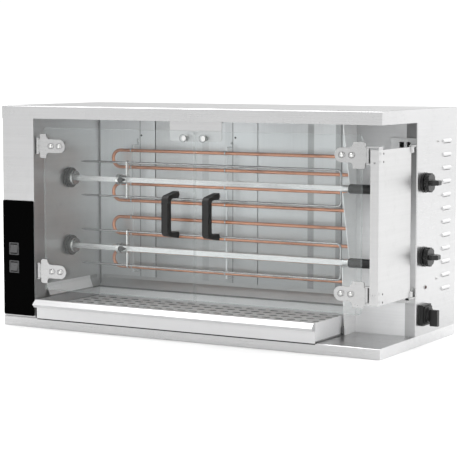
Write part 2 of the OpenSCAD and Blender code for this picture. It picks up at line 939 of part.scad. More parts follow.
// Section of the front's lip at its outer face, or inset by the sheet's thickness; back: its rear end
module lip_outline(inset, back) {
    top = tray_z1 - inset;
    low = tray_z1 - lip_h + inset;
    polygon([
        [back, top], [-lip_top + lip_mitre[0] * inset, top],
        [-lip_out + lip_mitre[1] * inset, tray_z1 - lip_nose],
        [-lip_low + lip_mitre[2] * inset, low], [back, low]
    ]);
}

// Front of the drawer: one sheet folded out to a blunt lip and back, closed at both ends
module drawer_front() {
    x = [tray_x0, tray_x1];
    color(c_bright) placed() difference() {
        union() {
            box(x, [-tray_t, 0], [tray_z0 - front_below, tray_z1]);
            along_x(x) lip_outline(0, 0);
        }
        along_x([x[0] + tray_t, x[1] - tray_t]) lip_outline(tray_t, eps);
    }
}

// Slotted insert that lies in the drawer on a strip along each end
module tray_insert() {
    x = [tray_x0 + insert_side, tray_x1 - insert_side];
    y = [insert_end, tray_y1 - insert_end];
    step_x = (x[1] - x[0] - 2 * slot_border) / slot_cols;
    step_y = (y[1] - y[0] - 2 * slot_border) / slot_rows;
    cols = [for (i = [0 : slot_cols - 1]) x[0] + slot_border + (i + 0.5) * step_x];
    rows = [for (j = [0 : slot_rows - 1]) y[0] + slot_border + (j + 0.5) * step_y];
    color(c_steel) placed() {
        difference() {
            box(x, y, at(insert_z, [0, tray_t]));
            along_z(at(insert_z, [-eps, 2 * tray_t]))
                for (a = cols, b = rows) slot([a, b], slot_size[0], slot_size[1]);
        }
        for (e = [y[0], y[1] - tray_t])
            box(x, at(e, [0, tray_t]), [tray_z0 + tray_t + seat, insert_z - weld_gap]);
    }
}

// Angle runners on the cavity walls that carry the drawer
module tray_runners() {
    color(c_dark_steel) placed() for (s = [[cav_l, 1], [cav_r, -1]]) {
        a = s[0];
        b = a + s[1] * runner_t;
        c = a + s[1] * runner_w;
        box([min(a, b), max(a, b)], [runner_side_y0, tray_y1], at(base_h, [0, runner_h]));
        box([min(a, c), max(a, c)], [runner_y0, tray_y1], at(base_h, [0, runner_t]));
    }
}

// Sloped sheets that lead drips from the walls into the drawer
module drip_deflectors() {
    t = tray_t;
    z0 = deflector_z0;
    z1 = deflector_z1;
    top = z1 + deflector_up;
    run = deflector_reach;
    back = cavity_d - deflector_back;
    color(c_steel) placed() {
        for (s = [[cav_l, 1, deflector_y0], [cav_r, -1, notch_back]])
            along_y([s[2], back + deflector_over]) polygon([
                [s[0], top], [s[0] + s[1] * t, top], [s[0] + s[1] * t, z1],
                [s[0] + s[1] * run, z0], [s[0] + s[1] * (run - 1.5 * t), z0], [s[0], z1 - 1]
            ]);
        along_x([cav_l + run, cav_r - run]) polygon([
            [cavity_d, top], [cavity_d - t, top], [cavity_d - t, z1],
            [back, z0], [back + 1.5 * t, z0], [cavity_d, z1 - 1]
        ]);
    }
}

// ---- doors ----

// Centres of the bolt holes in the left door's glass, as [X, Z]
hinge_bolts = [for (z = hinge_z, b = bolt_offsets) [pivot_l + b, z]];
strike_at = [door_mid - strike_offset, strike_z];

// Centres of the handle's bolts in the left (0) or mirrored right (1) door
function handle_bolts(side) = [
    for (s = both((handle_h - handle_arm) / 2)) [door_mid - handle_offset[side], handle_z + s]
];

module door_glass(side) {
    x = [pivot_l + glass_inset, door_mid - door_gap / 2];
    difference() {
        along_y([glass_setback, glass_back])
            round_rect([x[0], glass_z0], [x[1], glass_z1], glass_corner_r);
        for (p = concat(hinge_bolts, handle_bolts(side), [strike_at]))
            rod_y(bolt_r, p[0], [glass_setback - eps, glass_back + eps], p[1]);
    }
}

module glass_left() {
    color(c_glass) placed() door_glass(0);
}

module glass_right() {
    color(c_glass) placed() to_right_door() door_glass(1);
}

// Outline of a hinge leaf: a root beside the pivot that flares into a rounded tongue
module leaf_outline(zc, reach) {
    h = tongue_w / 2;
    root = [pivot_l + lug_r + 1.5, pivot_l + reach];
    rect([pivot_l, zc - h], [pivot_l + tongue_end, zc + h]);
    translate([pivot_l + tongue_end, zc]) circle(h);
    round_rect([root[0], zc - root_half], [root[1], zc + root_half], root_corner_r);
    rect([root[1] - root_corner_r, zc - root_half], [root[1], zc + root_half]);
    flare([root[1], zc + h], flare_top_r, 1);
    flare([root[1], zc - h], flare_low_r, -1);
}

// Flared leaf with a knuckle at the pivot
module hinge_leaf(zc, reach) {
    h = tongue_w / 2;
    difference() {
        union() {
            along_y([glass_setback - leaf_t, glass_setback]) leaf_outline(zc, reach);
            rod_z(knuckle_r, pivot_l, pivot_y, at(zc, both(h)));
        }
        rod_z(pin_r + running, pivot_l, pivot_y, at(zc, both(h + eps)));
        for (b = bolt_offsets)
            rod_y(bolt_r, pivot_l + b, [glass_setback - leaf_t - eps, glass_setback + eps], zc);
    }
}

// Clamp plate behind the glass
module hinge_clamp(zc) {
    mid = (bolt_offsets[0] + bolt_offsets[1]) / 2;
    difference() {
        along_y([glass_back, glass_back + clamp_t])
            slot([pivot_l + mid, zc], clamp_size[0], clamp_size[1]);
        for (b = bolt_offsets)
            rod_y(bolt_r, pivot_l + b, [glass_back - eps, glass_back + clamp_t + eps], zc);
    }
}

module hinge_plate_pair(side) {
    for (z = hinge_z) {
        hinge_leaf(z, root_reach[side]);
        hinge_clamp(z);
    }
}

module hinge_plates_left() {
    color(c_bright) placed() hinge_plate_pair(0);
}

module hinge_plates_right() {
    color(c_bright) placed() to_right_door() hinge_plate_pair(1);
}

// Two lugs with pins above and below the knuckle, on arms from a fixed flange
// reach: distance from the pivot to the face that the flange is fixed to
module hinge_bracket(zc, reach, arm_end, arm_y, flange_y) {
    for (s = [-1, 1]) {
        z = s > 0 ? at(zc + lug_half, [0, lug_t]) : at(zc - lug_half, [-lug_t, 0]);
        along_z(z) {
            translate([pivot_l, pivot_y]) circle(lug_r);
            rect([pivot_l - reach, arm_y[0]], [pivot_l + arm_end, arm_y[1]]);
        }
        rod_z(pin_r, pivot_l, pivot_y, s > 0 ? at(z[0], [-pin_len, 0]) : at(z[1], [0, pin_len]));
    }
    box(at(pivot_l - reach, [0, flange_t]), flange_y, at(zc, both(lug_half + lug_t)));
}

module hinge_brackets_left() {
    color(c_bright) placed() for (z = hinge_z)
        hinge_bracket(z, pivot_l - cav_l, wall_arm_end, wall_arm_y, wall_flange_y);
}

module hinge_brackets_right() {
    reach = guard_x1 - sheet_t - pivot_r;
    color(c_bright) placed() to_right_door() for (z = hinge_z)
        hinge_bracket(z, reach, 0, guard_arm_y, guard_flange_y);
}

// Dome-headed bolt through the glass with a nut disc behind
module dome_bolt(x, z, y_front, y_back) {
    rod_y(bolt_r, x, [y_front, y_back], z);
    rod_y(bolt_head_r, x, at(y_back, [0, nut_t]), z);
    translate([x, y_front, z]) rotate([90, 0, 0]) intersection() {
        translate([0, 0, bolt_head_h - bolt_dome_r]) sphere(bolt_dome_r);
        cylinder(r = bolt_head_r, h = bolt_head_h + eps);
    }
}

// Bolts of one door: four at the hinges, the magnet's strike disc and two behind the handle
module door_bolts(side) {
    for (p = hinge_bolts) dome_bolt(p[0], p[1], glass_setback - leaf_t, glass_back + clamp_t);
    rod_y(bolt_r, strike_at[0], [glass_setback, glass_back], strike_at[1]);
    rod_y(bolt_head_r, strike_at[0], at(glass_setback, [-nut_t, 0]), strike_at[1]);
    rod_y(strike_r, strike_at[0], at(glass_back, [0, strike_t]), strike_at[1]);
    for (p = handle_bolts(side)) {
        rod_y(bolt_r, p[0], [glass_setback, glass_back], p[1]);
        rod_y(bolt_head_r, p[0], at(glass_back, [0, nut_t]), p[1]);
        rod_y(handle_screw_r, p[0], at(glass_setback, [-handle_screw_len, 0]), p[1]);
    }
}

module door_bolts_left() {
    color(c_bright) placed() door_bolts(0);
}

module door_bolts_right() {
    color(c_bright) placed() to_right_door() door_bolts(1);
}

// Side view of a handle: a bar with round corners on two arms that widen towards the glass
module handle_profile() {
    y0 = glass_setback - handle_out;
    half = handle_h / 2;
    slope = atan(handle_taper / handle_out);
    inner = half - handle_arm;
    corner = [
        y0 + handle_outer_r,
        half - handle_taper + handle_outer_r * (tan(slope) - 1 / cos(slope))
    ];
    touch = corner + handle_outer_r * [-sin(slope), cos(slope)];
    translate([0, handle_z]) difference() {
        union() {
            polygon([
                [glass_setback, half], touch, [y0, corner[1]],
                [y0, -corner[1]], [touch[0], -touch[1]], [glass_setback, -half]
            ]);
            for (z = both(corner[1])) translate([corner[0], z]) circle(handle_outer_r);
        }
        round_rect([y0 + handle_t, -inner], [glass_back + handle_t, inner], handle_inner_r);
    }
}

// Moulded bridge handle with a blind hole in each arm for the screw through the glass
module bridge_handle(side) {
    difference() {
        along_x(at(door_mid - handle_offset[side], both(handle_w / 2))) handle_profile();
        for (p = handle_bolts(side))
            rod_y(handle_screw_r, p[0], at(glass_setback, [-handle_screw_len, eps]), p[1]);
    }
}

module handle_left() {
    color(c_black) placed() bridge_handle(0);
}

module handle_right() {
    color(c_black) placed() to_right_door() bridge_handle(1);
}

// Plate under the roof with two magnets that meet the strike discs
module catch_plate() {
    y0 = glass_back + 1;
    x = at(door_mid, both(catch_half));
    z = at(strike_z, [-strike_r, strike_r]);
    color(c_bright) placed() {
        along_y(at(y0, [0, catch_t])) {
            round_rect([x[0], z[0]], [x[1], cap_z - catch_t], catch_corner_r);
            rect([x[0], z[1]], [x[1], cap_z]);
        }
        box(x, at(y0, [catch_t, catch_depth]), at(cap_z, [-catch_t, 0]));
        for (dx = both(strike_offset))
            rod_y(strike_r, door_mid + dx, at(y0 + catch_t, [0, magnet_len]), strike_z);
    }
}

// ---- side guard ----

// Swing-out guard beside the doors: one bent sheet with rolled knuckles at its rear edge
module side_guard() {
    x0 = guard_x1 - guard_strip;
    color(c_bright) placed() difference() {
        union() {
            along_z([guard_z0, guard_z1]) translate([guard_x1, 0]) mirror([1, 0])
                bent_plan(guard_strip, guard_edge_y);
            for (z = [at(guard_z0, [0, guard_knuckle_len]), at(guard_z1, [-guard_knuckle_len, 0])])
                rod_z(guard_knuckle_r, guard_pin_x, guard_pin_y, z);
        }
        rod_z(guard_pin_r + running, guard_pin_x, guard_pin_y, [guard_z0 - eps, guard_z1 + eps]);
        for (z = guard_hole_z)
            rod_y(guard_hole_r, x0 + guard_strip / 2, [-eps, sheet_t + eps], z);
    }
}

// Windows through a guard bracket and the sheet behind it, two at each end of the guard
module guard_windows() {
    z_top = at(guard_z1, [-window_z[0], window_z[1]]);
    z_low = at(guard_z0, [-window_z[1], window_z[0]]);
    for (x = window_x, z = [z_top, z_low])
        box(at(body_w, x), at(electric_setback, [-bracket_t - eps, sheet_t + eps]), z);
}

// Brackets on the electric column that carry the guard's pins
module guard_hinges() {
    face = electric_setback - bracket_t;
    color(c_steel) placed() for (s = [-1, 1]) {
        z = s > 0 ? at(guard_z1 + lug_gap, [0, lug_t]) : at(guard_z0 - lug_gap, [-lug_t, 0]);
        difference() {
            box(bracket_x, [face, electric_setback],
                s > 0 ? at(guard_z1, [-bracket_below[1], bracket_above])
                      : at(guard_z0, [-bracket_below[0], bracket_above]));
            guard_windows();
        }
        along_z(z) {
            translate([guard_pin_x, guard_pin_y]) circle(guard_lug_r);
            rect([guard_pin_x - guard_lug_r, guard_pin_y], [guard_pin_x + guard_lug_r, face]);
        }
        rod_z(guard_pin_r, guard_pin_x, guard_pin_y,
              s > 0 ? at(z[0], [-guard_pin_len, 0]) : at(z[1], [0, guard_pin_len]));
    }
}

// ---- controls on the electric column ----

// Knob: skirt, fluted body and bar grip with hollowed sides, on a shaft that enters the regulator
module knob(z) {
    body_z = knob_neck_h;
    grip_z = knob_neck_h + knob_body_h;
    neck_r = knob_r - knob_neck_in;
    color(c_black) placed() translate([body_w + seat, knob_y, z]) rotate([0, 90, 0]) {
        cylinder(r = knob_r + 1, h = knob_skirt_h);
        cylinder(r = neck_r, h = knob_neck_h + eps);
        translate([0, 0, body_z]) difference() {
            cylinder(r = knob_r, h = knob_body_h);
            for (i = [0 : knob_flutes - 1])
                rotate([0, 0, (i + 0.5) * 360 / knob_flutes])
                    translate([knob_r + 0.7 * knob_flute_r, 0, -eps])
                        cylinder(r = knob_flute_r, h = knob_body_h + 2 * eps);
        }
        translate([0, 0, grip_z]) difference() {
            along_y(both(neck_r))
                round_rect([-knob_grip_w / 2, -knob_edge_r], [knob_grip_w / 2, knob_grip_h],
                           knob_edge_r);
            for (s = both(knob_r + knob_hollow_at[0]))
                translate([0, s, knob_grip_h + knob_hollow_at[1]]) rotate([0, 90, 0])
                    cylinder(r = knob_hollow_r, h = knob_grip_w + eps, center = true);
        }
        translate([0, 0, -knob_shaft_len]) cylinder(r = knob_shaft_r, h = knob_shaft_len + eps);
    }
}

module knob_upper() { knob(knob_z[1]); }
module knob_lower() { knob(knob_z[0]); }

// Energy regulators behind the side cover, with a threaded neck for the knob's shaft
module regulators() {
    back = cover_x - regulator_neck_len;
    color(c_pale) placed() for (z = knob_z) difference() {
        union() {
            box(at(back, [-regulator_size[0], 0]), at(knob_y, both(regulator_size[1] / 2)),
                at(z, both(regulator_size[2] / 2)));
            rod_x(regulator_neck_r, [back, cover_x], knob_y, z);
            rod_x(stub_r, [cover_x, body_w], knob_y, z);
        }
        rod_x(knob_shaft_r + running, at(body_w, [-knob_shaft_len - 2, eps]), knob_y, z);
    }
}

// Rotary main switch: stepped square plate outside, switch block behind the cover
module main_switch_base() {
    h = main_plate / 2;
    step = main_plate_t - main_step;
    color(c_black) placed() difference() {
        union() {
            along_x(at(body_w, [0, step])) main_plate_outline(h);
            along_x(at(body_w, [step, main_plate_t])) main_plate_outline(h - main_step);
            rod_x(main_neck_r, [cover_x, body_w], main_y, main_z);
            box(at(cover_x, [-main_body[0], 0]), at(main_y, both(main_body[1] / 2)),
                at(main_z, both(main_body[2] / 2)));
        }
        rod_x(main_shaft_r + running, at(body_w, [-main_shaft_in - eps, main_plate_t + eps]),
              main_y, main_z);
    }
}

module main_plate_outline(h) {
    round_rect([main_y - h, main_z - h], [main_y + h, main_z + h], main_step);
}

// Bar grip on a round hub; the bar is longer below the hub
module main_switch_grip() {
    face = body_w + main_plate_t;
    w = main_grip_w / 2;
    z = at(main_z, main_grip_z);
    color(c_black) placed() {
        rod_x(main_hub_r, at(face, [seat, main_hub_t]), main_y, main_z);
        along_x(at(face + main_hub_t, [0, main_grip_t]))
            round_rect([main_y - w, z[0]], [main_y + w, z[1]], w / 2);
        rod_x(main_shaft_r, [body_w - main_shaft_in, face + seat + eps], main_y, main_z);
    }
}

// Pilot lamp: rim and domed lens outside, body and nut behind the cover
module pilot_lamp() {
    rim_x = body_w + lamp_rim_t;
    color(c_rocker) placed() {
        rod_x(lamp_r, [body_w - lamp_body_len, rim_x], lamp_y, lamp_z);
        rod_x(lamp_rim_r, [body_w, rim_x], lamp_y, lamp_z);
        rod_x(lamp_nut_r, at(cover_x, [-lamp_nut_t, 0]), lamp_y, lamp_z);
        translate([rim_x, lamp_y, lamp_z]) rotate([0, 90, 0]) intersection() {
            translate([0, 0, lamp_dome_h - lamp_dome_r]) sphere(lamp_dome_r);
            cylinder(r = lamp_lens_r, h = lamp_dome_h + eps);
        }
    }
}

// Supply terminals on the floor of the electric column
module terminal_block() {
    mid_y = (terminal_y[0] + terminal_y[1]) / 2;
    body = terminal_pitch - 1;
    color(c_pale) placed() for (i = [0 : terminal_count - 1]) {
        x = terminal_x0 + i * terminal_pitch;
        difference() {
            union() {
                box(at(x, [0, body]), terminal_y, at(base_h, [0, terminal_h[0]]));
                box(at(x, [2, body - 2]), at(mid_y, [-6, 6]), at(base_h, terminal_h));
            }
            rod_z(terminal_screw_r, x + body / 2, mid_y,
                  at(base_h, [terminal_h[0] - 4, terminal_h[1] + eps]));
        }
        box(at(x + body, [-eps, 2]), at(mid_y, [-4, 4]), at(base_h, [0, 6]));
    }
}

// Inlet gland for the supply lead: dome nut outside, lock nut inside the rear panel
module cable_gland() {
    nut = gland_nut_t;
    color(c_black) placed() difference() {
        union() {
            rod_y(gland_thread_r, gland_x, [rear_y - nut - 2, body_d + nut + 2], gland_z);
            translate([gland_x, body_d + nut, gland_z]) rotate([90, 0, 0])
                cylinder(r = gland_nut_r, h = nut, $fn = 6);
            translate([gland_x, rear_y, gland_z]) rotate([90, 0, 0])
                cylinder(r = gland_lock_r, h = nut - 1, $fn = 6);
            translate([gland_x, body_d + nut, gland_z]) rotate([-90, 0, 0])
                cylinder(r1 = gland_nut_r - 2, r2 = gland_bore_r + 4, h = 2 * nut);
        }
        rod_y(gland_bore_r, gland_x, [rear_y - 2 * nut, body_d + 4 * nut], gland_z);
    }
}

// Screws of the side cover, the rear panel and the heater supports
module housing_screws() {
    color(c_dark_steel) placed() {
        for (z = side_screw_z) rod_x(side_screw_r, at(body_w, [0, side_screw_h]), side_screw_y, z);
        for (x = rear_screw_x, z = rear_screw_z)
            rod_y(rear_screw_r, x, at(body_d, [0, rear_screw_h]), z);
        for (x = support_x)
            rod_y(support_screw_r, x, at(cavity_d, [-2 * support_t, -support_t]), support_screw_z);
    }
}

base_pan();
base_cover();
top_cap();
cavity_roof();
left_cover();
left_cavity_wall();
right_cover();
right_cavity_wall();
rear_panel();
cavity_back();
control_panel();
switch_bodies();
rocker_upper();
rocker_lower();
gearmotors();
shaft_bushes();
drive_coupling_upper();
drive_coupling_lower();
drive_disc_upper();
drive_disc_lower();
spit_upper();
spit_lower();
fork_upper();
fork_lower();
fork_slider_upper();
fork_slider_lower();
thumb_screw_upper();
thumb_screw_lower();
spit_grip_upper();
spit_grip_lower();
heating_elements();
element_supports();
element_nuts();
drip_tray();
drawer_front();
tray_insert();
tray_runners();
drip_deflectors();
glass_left();
glass_right();
hinge_plates_left();
hinge_plates_right();
hinge_brackets_left();
hinge_brackets_right();
door_bolts_left();
door_bolts_right();
handle_left();
handle_right();
catch_plate();
side_guard();
guard_hinges();
knob_upper();
knob_lower();
main_switch_base();
main_switch_grip();
regulators();
pilot_lamp();
terminal_block();
cable_gland();
housing_screws();
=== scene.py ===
import math
from collections import namedtuple

import bmesh
import bpy
from mathutils import Euler, Matrix, Vector


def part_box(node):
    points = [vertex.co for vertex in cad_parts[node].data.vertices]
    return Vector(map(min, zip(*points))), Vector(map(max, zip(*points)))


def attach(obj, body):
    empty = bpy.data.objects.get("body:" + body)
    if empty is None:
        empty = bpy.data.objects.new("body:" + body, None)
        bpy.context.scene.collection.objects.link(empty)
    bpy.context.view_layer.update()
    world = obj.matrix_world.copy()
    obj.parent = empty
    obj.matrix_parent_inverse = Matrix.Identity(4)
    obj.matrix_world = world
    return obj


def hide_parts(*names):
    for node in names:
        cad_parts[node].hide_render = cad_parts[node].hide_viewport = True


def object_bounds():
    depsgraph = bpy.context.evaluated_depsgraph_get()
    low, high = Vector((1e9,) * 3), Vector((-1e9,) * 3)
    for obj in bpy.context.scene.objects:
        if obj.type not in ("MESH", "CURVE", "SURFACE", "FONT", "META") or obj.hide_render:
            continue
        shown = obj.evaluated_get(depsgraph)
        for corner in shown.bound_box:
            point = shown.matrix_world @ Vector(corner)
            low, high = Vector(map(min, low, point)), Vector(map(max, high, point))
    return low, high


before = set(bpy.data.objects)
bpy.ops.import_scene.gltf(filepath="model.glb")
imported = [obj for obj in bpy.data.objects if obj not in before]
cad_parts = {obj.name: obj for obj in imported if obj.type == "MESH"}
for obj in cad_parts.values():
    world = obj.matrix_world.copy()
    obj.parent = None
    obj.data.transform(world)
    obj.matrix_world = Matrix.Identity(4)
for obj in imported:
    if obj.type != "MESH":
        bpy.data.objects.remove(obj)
cad_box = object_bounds()

bl_info = {
    "name": "Electric skewer grill",
    "version": (1, 0, 0),
    "blender": (4, 5, 0),
    "location": "3D View > Sidebar > Grill",
    "description": "Finishes and small fittings of an electric grill with two turning spits, and its studio",
    "category": "Object",
}

RENDER_PIXELS = 460
SENSOR_MM = 36.0

FLOOR_GAP = 0.0005  # metres from the grill's foot down to the floor
WELD_DISTANCE = 1e-6  # metres within which two corners of a mesh are one
ROUND_SIDES = 24  # sides of a round fitting, a multiple of 4 for a screw's cross
SMOOTH_ANGLE = math.radians(35)  # edges of a fitting sharper than this stay sharp

# Dark lines down the oven's back, seams and painted shade: place and half width in metres, and depth as a
# share of the tone.
BackLine = namedtuple("BackLine", "x half depth")
FIRST_JOINT = -0.24  # where the first two reflector sheets meet
BACK_LINES = (
    BackLine(-0.4065, 0.0022, 0.60),  # painted shade in the corner with the left wall
    BackLine(-0.285, 0.0009, 0.55),  # a thin line in the first sheet
    BackLine(FIRST_JOINT, 0.0011, 0.65),
    BackLine(-0.0202, 0.0009, 0.55),  # a thin line in the second sheet
    BackLine(-0.0965, 0.0075, 0.16),  # broad bands of soft shade
    BackLine(-0.03, 0.009, 0.10),
    BackLine(0.1905, 0.0065, 0.38),
    BackLine(0.264, 0.007, 0.42),
)

# Colours that only tint a finish in places.
HEAT_HAZE = (0.62, 0.56, 0.45)
COLD_SHEATH = (0.50, 0.46, 0.42)
PLASTIC_DUST = (0.35, 0.35, 0.34)
PANEL_DUST = (0.3, 0.3, 0.3)
CHIPPED_PAINT = (0.35, 0.34, 0.33)
LAMP_RIM = (0.55, 0.55, 0.54)


# ---------------------------------------------------------------- settings

def colour_property(name, description, default):
    return bpy.props.FloatVectorProperty(
        name=name, description=description, default=default, size=3, subtype="COLOR", min=0, max=1
    )


def share_property(name, description, default):
    return bpy.props.FloatProperty(
        name=name, description=description, default=default, subtype="FACTOR", min=0, max=1
    )


def length_property(name, description, default):
    return bpy.props.FloatProperty(
        name=name, description=description, default=default, subtype="DISTANCE", unit="LENGTH",
        min=0, precision=5
    )


def power_property(name, description, default):
    return bpy.props.FloatProperty(
        name=name, description=description, default=default, subtype="POWER", unit="POWER", min=0
    )


class GrillStudioSettings(bpy.types.PropertyGroup):
    """The floor, the light and the camera."""
    floor_side: length_property("Floor side", "Side of the square floor", 400.0)
    floor_colour: colour_property("Floor colour", "Colour of the plain floor", (0.97, 0.97, 0.97))
    room_light: bpy.props.FloatProperty(
        name="Room light", description="Brightness of the white room all round", default=1.06, min=0)
    back_light: bpy.props.FloatProperty(
        name="Back light", description="Extra brightness of the room behind and to the right",
        default=1.0, min=0)
    key_power: power_property("Key power", "Power of the long soft lamp over the front", 26.0)
    key_width: length_property("Key lamp width", "Length of the long soft lamp", 2.4)
    key_depth: length_property("Key lamp depth", "Depth of the long soft lamp", 0.7)
    side_power: power_property("Side power", "Power of the soft lamp behind the right side", 40.0)
    side_size: length_property("Side lamp side", "Side of the soft lamp behind the right side", 3.2)
    camera_place: bpy.props.FloatVectorProperty(
        name="Camera place", description="Where the camera stands", size=3, subtype="TRANSLATION",
        unit="LENGTH", default=(1.9961, -3.4402, 0.6291))
    camera_heading: bpy.props.FloatProperty(
        name="Camera heading", description="Turn of the view to the left of straight ahead",
        subtype="ANGLE", unit="ROTATION", default=math.radians(29.969))
    camera_dip: bpy.props.FloatProperty(
        name="Camera dip", description="How far the view looks down", subtype="ANGLE",
        unit="ROTATION", default=math.radians(5.63))
    camera_focus: bpy.props.FloatProperty(
        name="Camera focus", description="Distance of the image plane, counted in pixels",
        default=1686.5, min=1)


class GrillSteelSettings(bpy.types.PropertyGroup):
    """Sheet steel, turned steel and the linings of the oven."""
    satin: colour_property("Satin steel", "Colour of the outer sheets", (0.525, 0.525, 0.528))
    rear: colour_property("Rear steel", "Colour of the rear panel", (0.40, 0.40, 0.403))
    guard: colour_property("Guard steel", "Colour of the side guard", (0.52, 0.52, 0.52))
    lining: colour_property("Lining steel", "Colour of the bright oven lining", (0.60, 0.612, 0.62))
    wall: colour_property("Oven wall", "Colour of the dull oven end walls", (0.56, 0.56, 0.56))
    column: colour_property("Column steel", "Colour of the inner sides of the column", (0.88, 0.88, 0.88))
    leaf: colour_property("Hinge steel", "Colour of the hinge leaves", (0.46, 0.46, 0.46))
    drawer: colour_property("Drawer steel", "Colour of the drip drawer", (0.62, 0.62, 0.625))
    screen: colour_property("Drawer screen", "Colour of the slotted insert", (0.90, 0.91, 0.91))
    bright: colour_property("Bright steel", "Colour of sliders, sockets and bolts", (0.74, 0.74, 0.73))
    spit: colour_property("Spit steel", "Colour of the spit bars", (0.60, 0.60, 0.60))
    rod: colour_property("Fork steel", "Colour of the fork rods", (0.40, 0.40, 0.40))
    dark: colour_property("Dark steel", "Colour of the screws and fasteners", (0.09, 0.09, 0.09))
    shield: colour_property("Shield steel", "Colour of the heat shields", (0.04, 0.04, 0.04))
    zinc: colour_property("Zinc sheet", "Colour of the galvanised base cover", (0.50, 0.51, 0.52))
    grain: share_property("Grain", "How strongly the brushing lines show", 0.35)
    wear: share_property("Wear", "How strongly marks and dull patches show", 0.3)


class GrillHeaterSettings(bpy.types.PropertyGroup):
    """The tubular heaters and the brass parts."""
    copper: colour_property("Heater copper", "Colour of the clean heater sheath", (0.78, 0.36, 0.22))
    tarnish: colour_property("Heater tarnish", "Colour of the sheath where it ran hot", (0.46, 0.20, 0.12))
    brass: colour_property("Brass", "Colour of bushes and unions", (0.72, 0.53, 0.26))


class GrillPlasticSettings(bpy.types.PropertyGroup):
    """Moulded plastics, the black panel and the paint of the motors."""
    black: colour_property("Black plastic", "Colour of knobs, grips and switches", (0.012, 0.012, 0.012))
    handle: colour_property("Handle plastic", "Colour of the door handles", (0.015, 0.015, 0.0145))
    panel: colour_property("Black panel", "Colour of the glossy control panel", (0.0007, 0.0007, 0.0007))
    bezel: colour_property("Switch bezels", "Colour of the frames of the rockers", (0.05, 0.05, 0.052))
    rocker: colour_property("Rocker plastic", "Colour of the rocker switches", (0.07, 0.07, 0.072))
    pale: colour_property("Pale plastic", "Colour of the terminal block", (0.62, 0.60, 0.54))
    motor: colour_property("Motor paint", "Colour of the motors and gear cases", (0.10, 0.11, 0.12))
    lens: colour_property("Lamp lens", "Colour of the unlit pilot lamp", (0.05, 0.012, 0.008))
    regulator: colour_property("Regulator plastic", "Colour of the regulators", (0.05, 0.045, 0.04))
    # the washers' dark colour also paints the shadow ring round each bolt head
    washer: colour_property("Washer plastic", "Colour of the washers on the doors", (0.03, 0.03, 0.03))


class GrillGlassSettings(bpy.types.PropertyGroup):
    """The two glass doors."""
    tint: colour_property("Glass tint", "What the clear faces let through", (0.975, 0.985, 0.985))
    edge: colour_property("Glass edge", "Colour of the ground edges", (0.62, 0.68, 0.67))
    body: colour_property("Glass body", "Colour that the ground edges go over from", (0.55, 0.56, 0.56))
    gloss: colour_property("Glass gloss", "Tint of what the faces reflect", (0.96, 0.98, 0.97))
    edge_width: length_property("Edge width", "Width of the ground edge seen on each face", 0.0009)


class GrillFittingSettings(bpy.types.PropertyGroup):
    """Small fittings that are modelled here."""
    recess_share: share_property("Recess share", "Reach of the cross recess across the head", 0.62)
    recess_width: share_property("Recess width", "Half width of the recess arms across the head", 0.13)
    rivet_radius: length_property("Rivet radius", "Radius of the rivet heads on the guard", 0.0024)
    rivet_height: length_property("Rivet height", "Height of the rivet heads on the guard", 0.0009)
    rivet_inset: length_property("Rivet inset", "Distance of the rivets from the guard's front", 0.014)
    rivet_ends: length_property("Rivet ends", "Distance of the outer rivets from the guard's ends", 0.0075)
    rivet_step: length_property("Rivet step", "Distance between the two rivets of a pair", 0.0175)
    support_screw_radius: length_property("Support screw radius", "Radius of the support screws", 0.0024)
    support_screw_side: length_property("Support screw side", "Distance from a support's left side", 0.012)
    support_screw_rise: length_property("Support screw rise", "Height above a support's top", 0.008)
    washer_width: length_property("Washer width", "Width of the dark washers of the hinge leaves", 0.0008)
    washer_height: length_property("Washer height", "Thickness of the dark washers", 0.0004)
    washer_play: length_property("Washer play", "Gap between a washer and its bolt", 0.0001)


# ---------------------------------------------------------------- finishes

class Wire:
    """A socket of a finish, for use in Python expressions."""

    def __init__(self, finish, socket):
        self.finish = finish
        self.socket = socket

    def _math(self, operation, *values, clamp=False):
        return self.finish.node(
            "ShaderNodeMath", {"operation": operation, "use_clamp": clamp}, dict(enumerate(values)))

    def __add__(self, other):
        return self._math("ADD", self, other)

    __radd__ = __add__

    def __sub__(self, other):
        return self._math("SUBTRACT", self, other)

    def __rsub__(self, other):
        return self._math("SUBTRACT", other, self)

    def __mul__(self, other):
        return self._math("MULTIPLY", self, other)

    __rmul__ = __mul__

    def __pow__(self, other):
        return self._math("POWER", self, other)

    def __gt__(self, other):
        return self._math("GREATER_THAN", self, other)

    def __lt__(self, other):
        return self._math("LESS_THAN", self, other)

    def __abs__(self):
        return self._math("ABSOLUTE", self)

    def larger(self, other):
        return self._math("MAXIMUM", self, other)

    def smaller(self, other):
        return self._math("MINIMUM", self, other)

    def held(self):
        """The value kept from 0 to 1."""
        return self._math("ADD", self, 0.0, clamp=True)

    def between(self, low, high):
        """0 at low, 1 at high and smooth in between."""
        return self.finish.node(
            "ShaderNodeMapRange", {"interpolation_type": "SMOOTHSTEP"},
            {"Value": self, "From Min": low, "From Max": high})


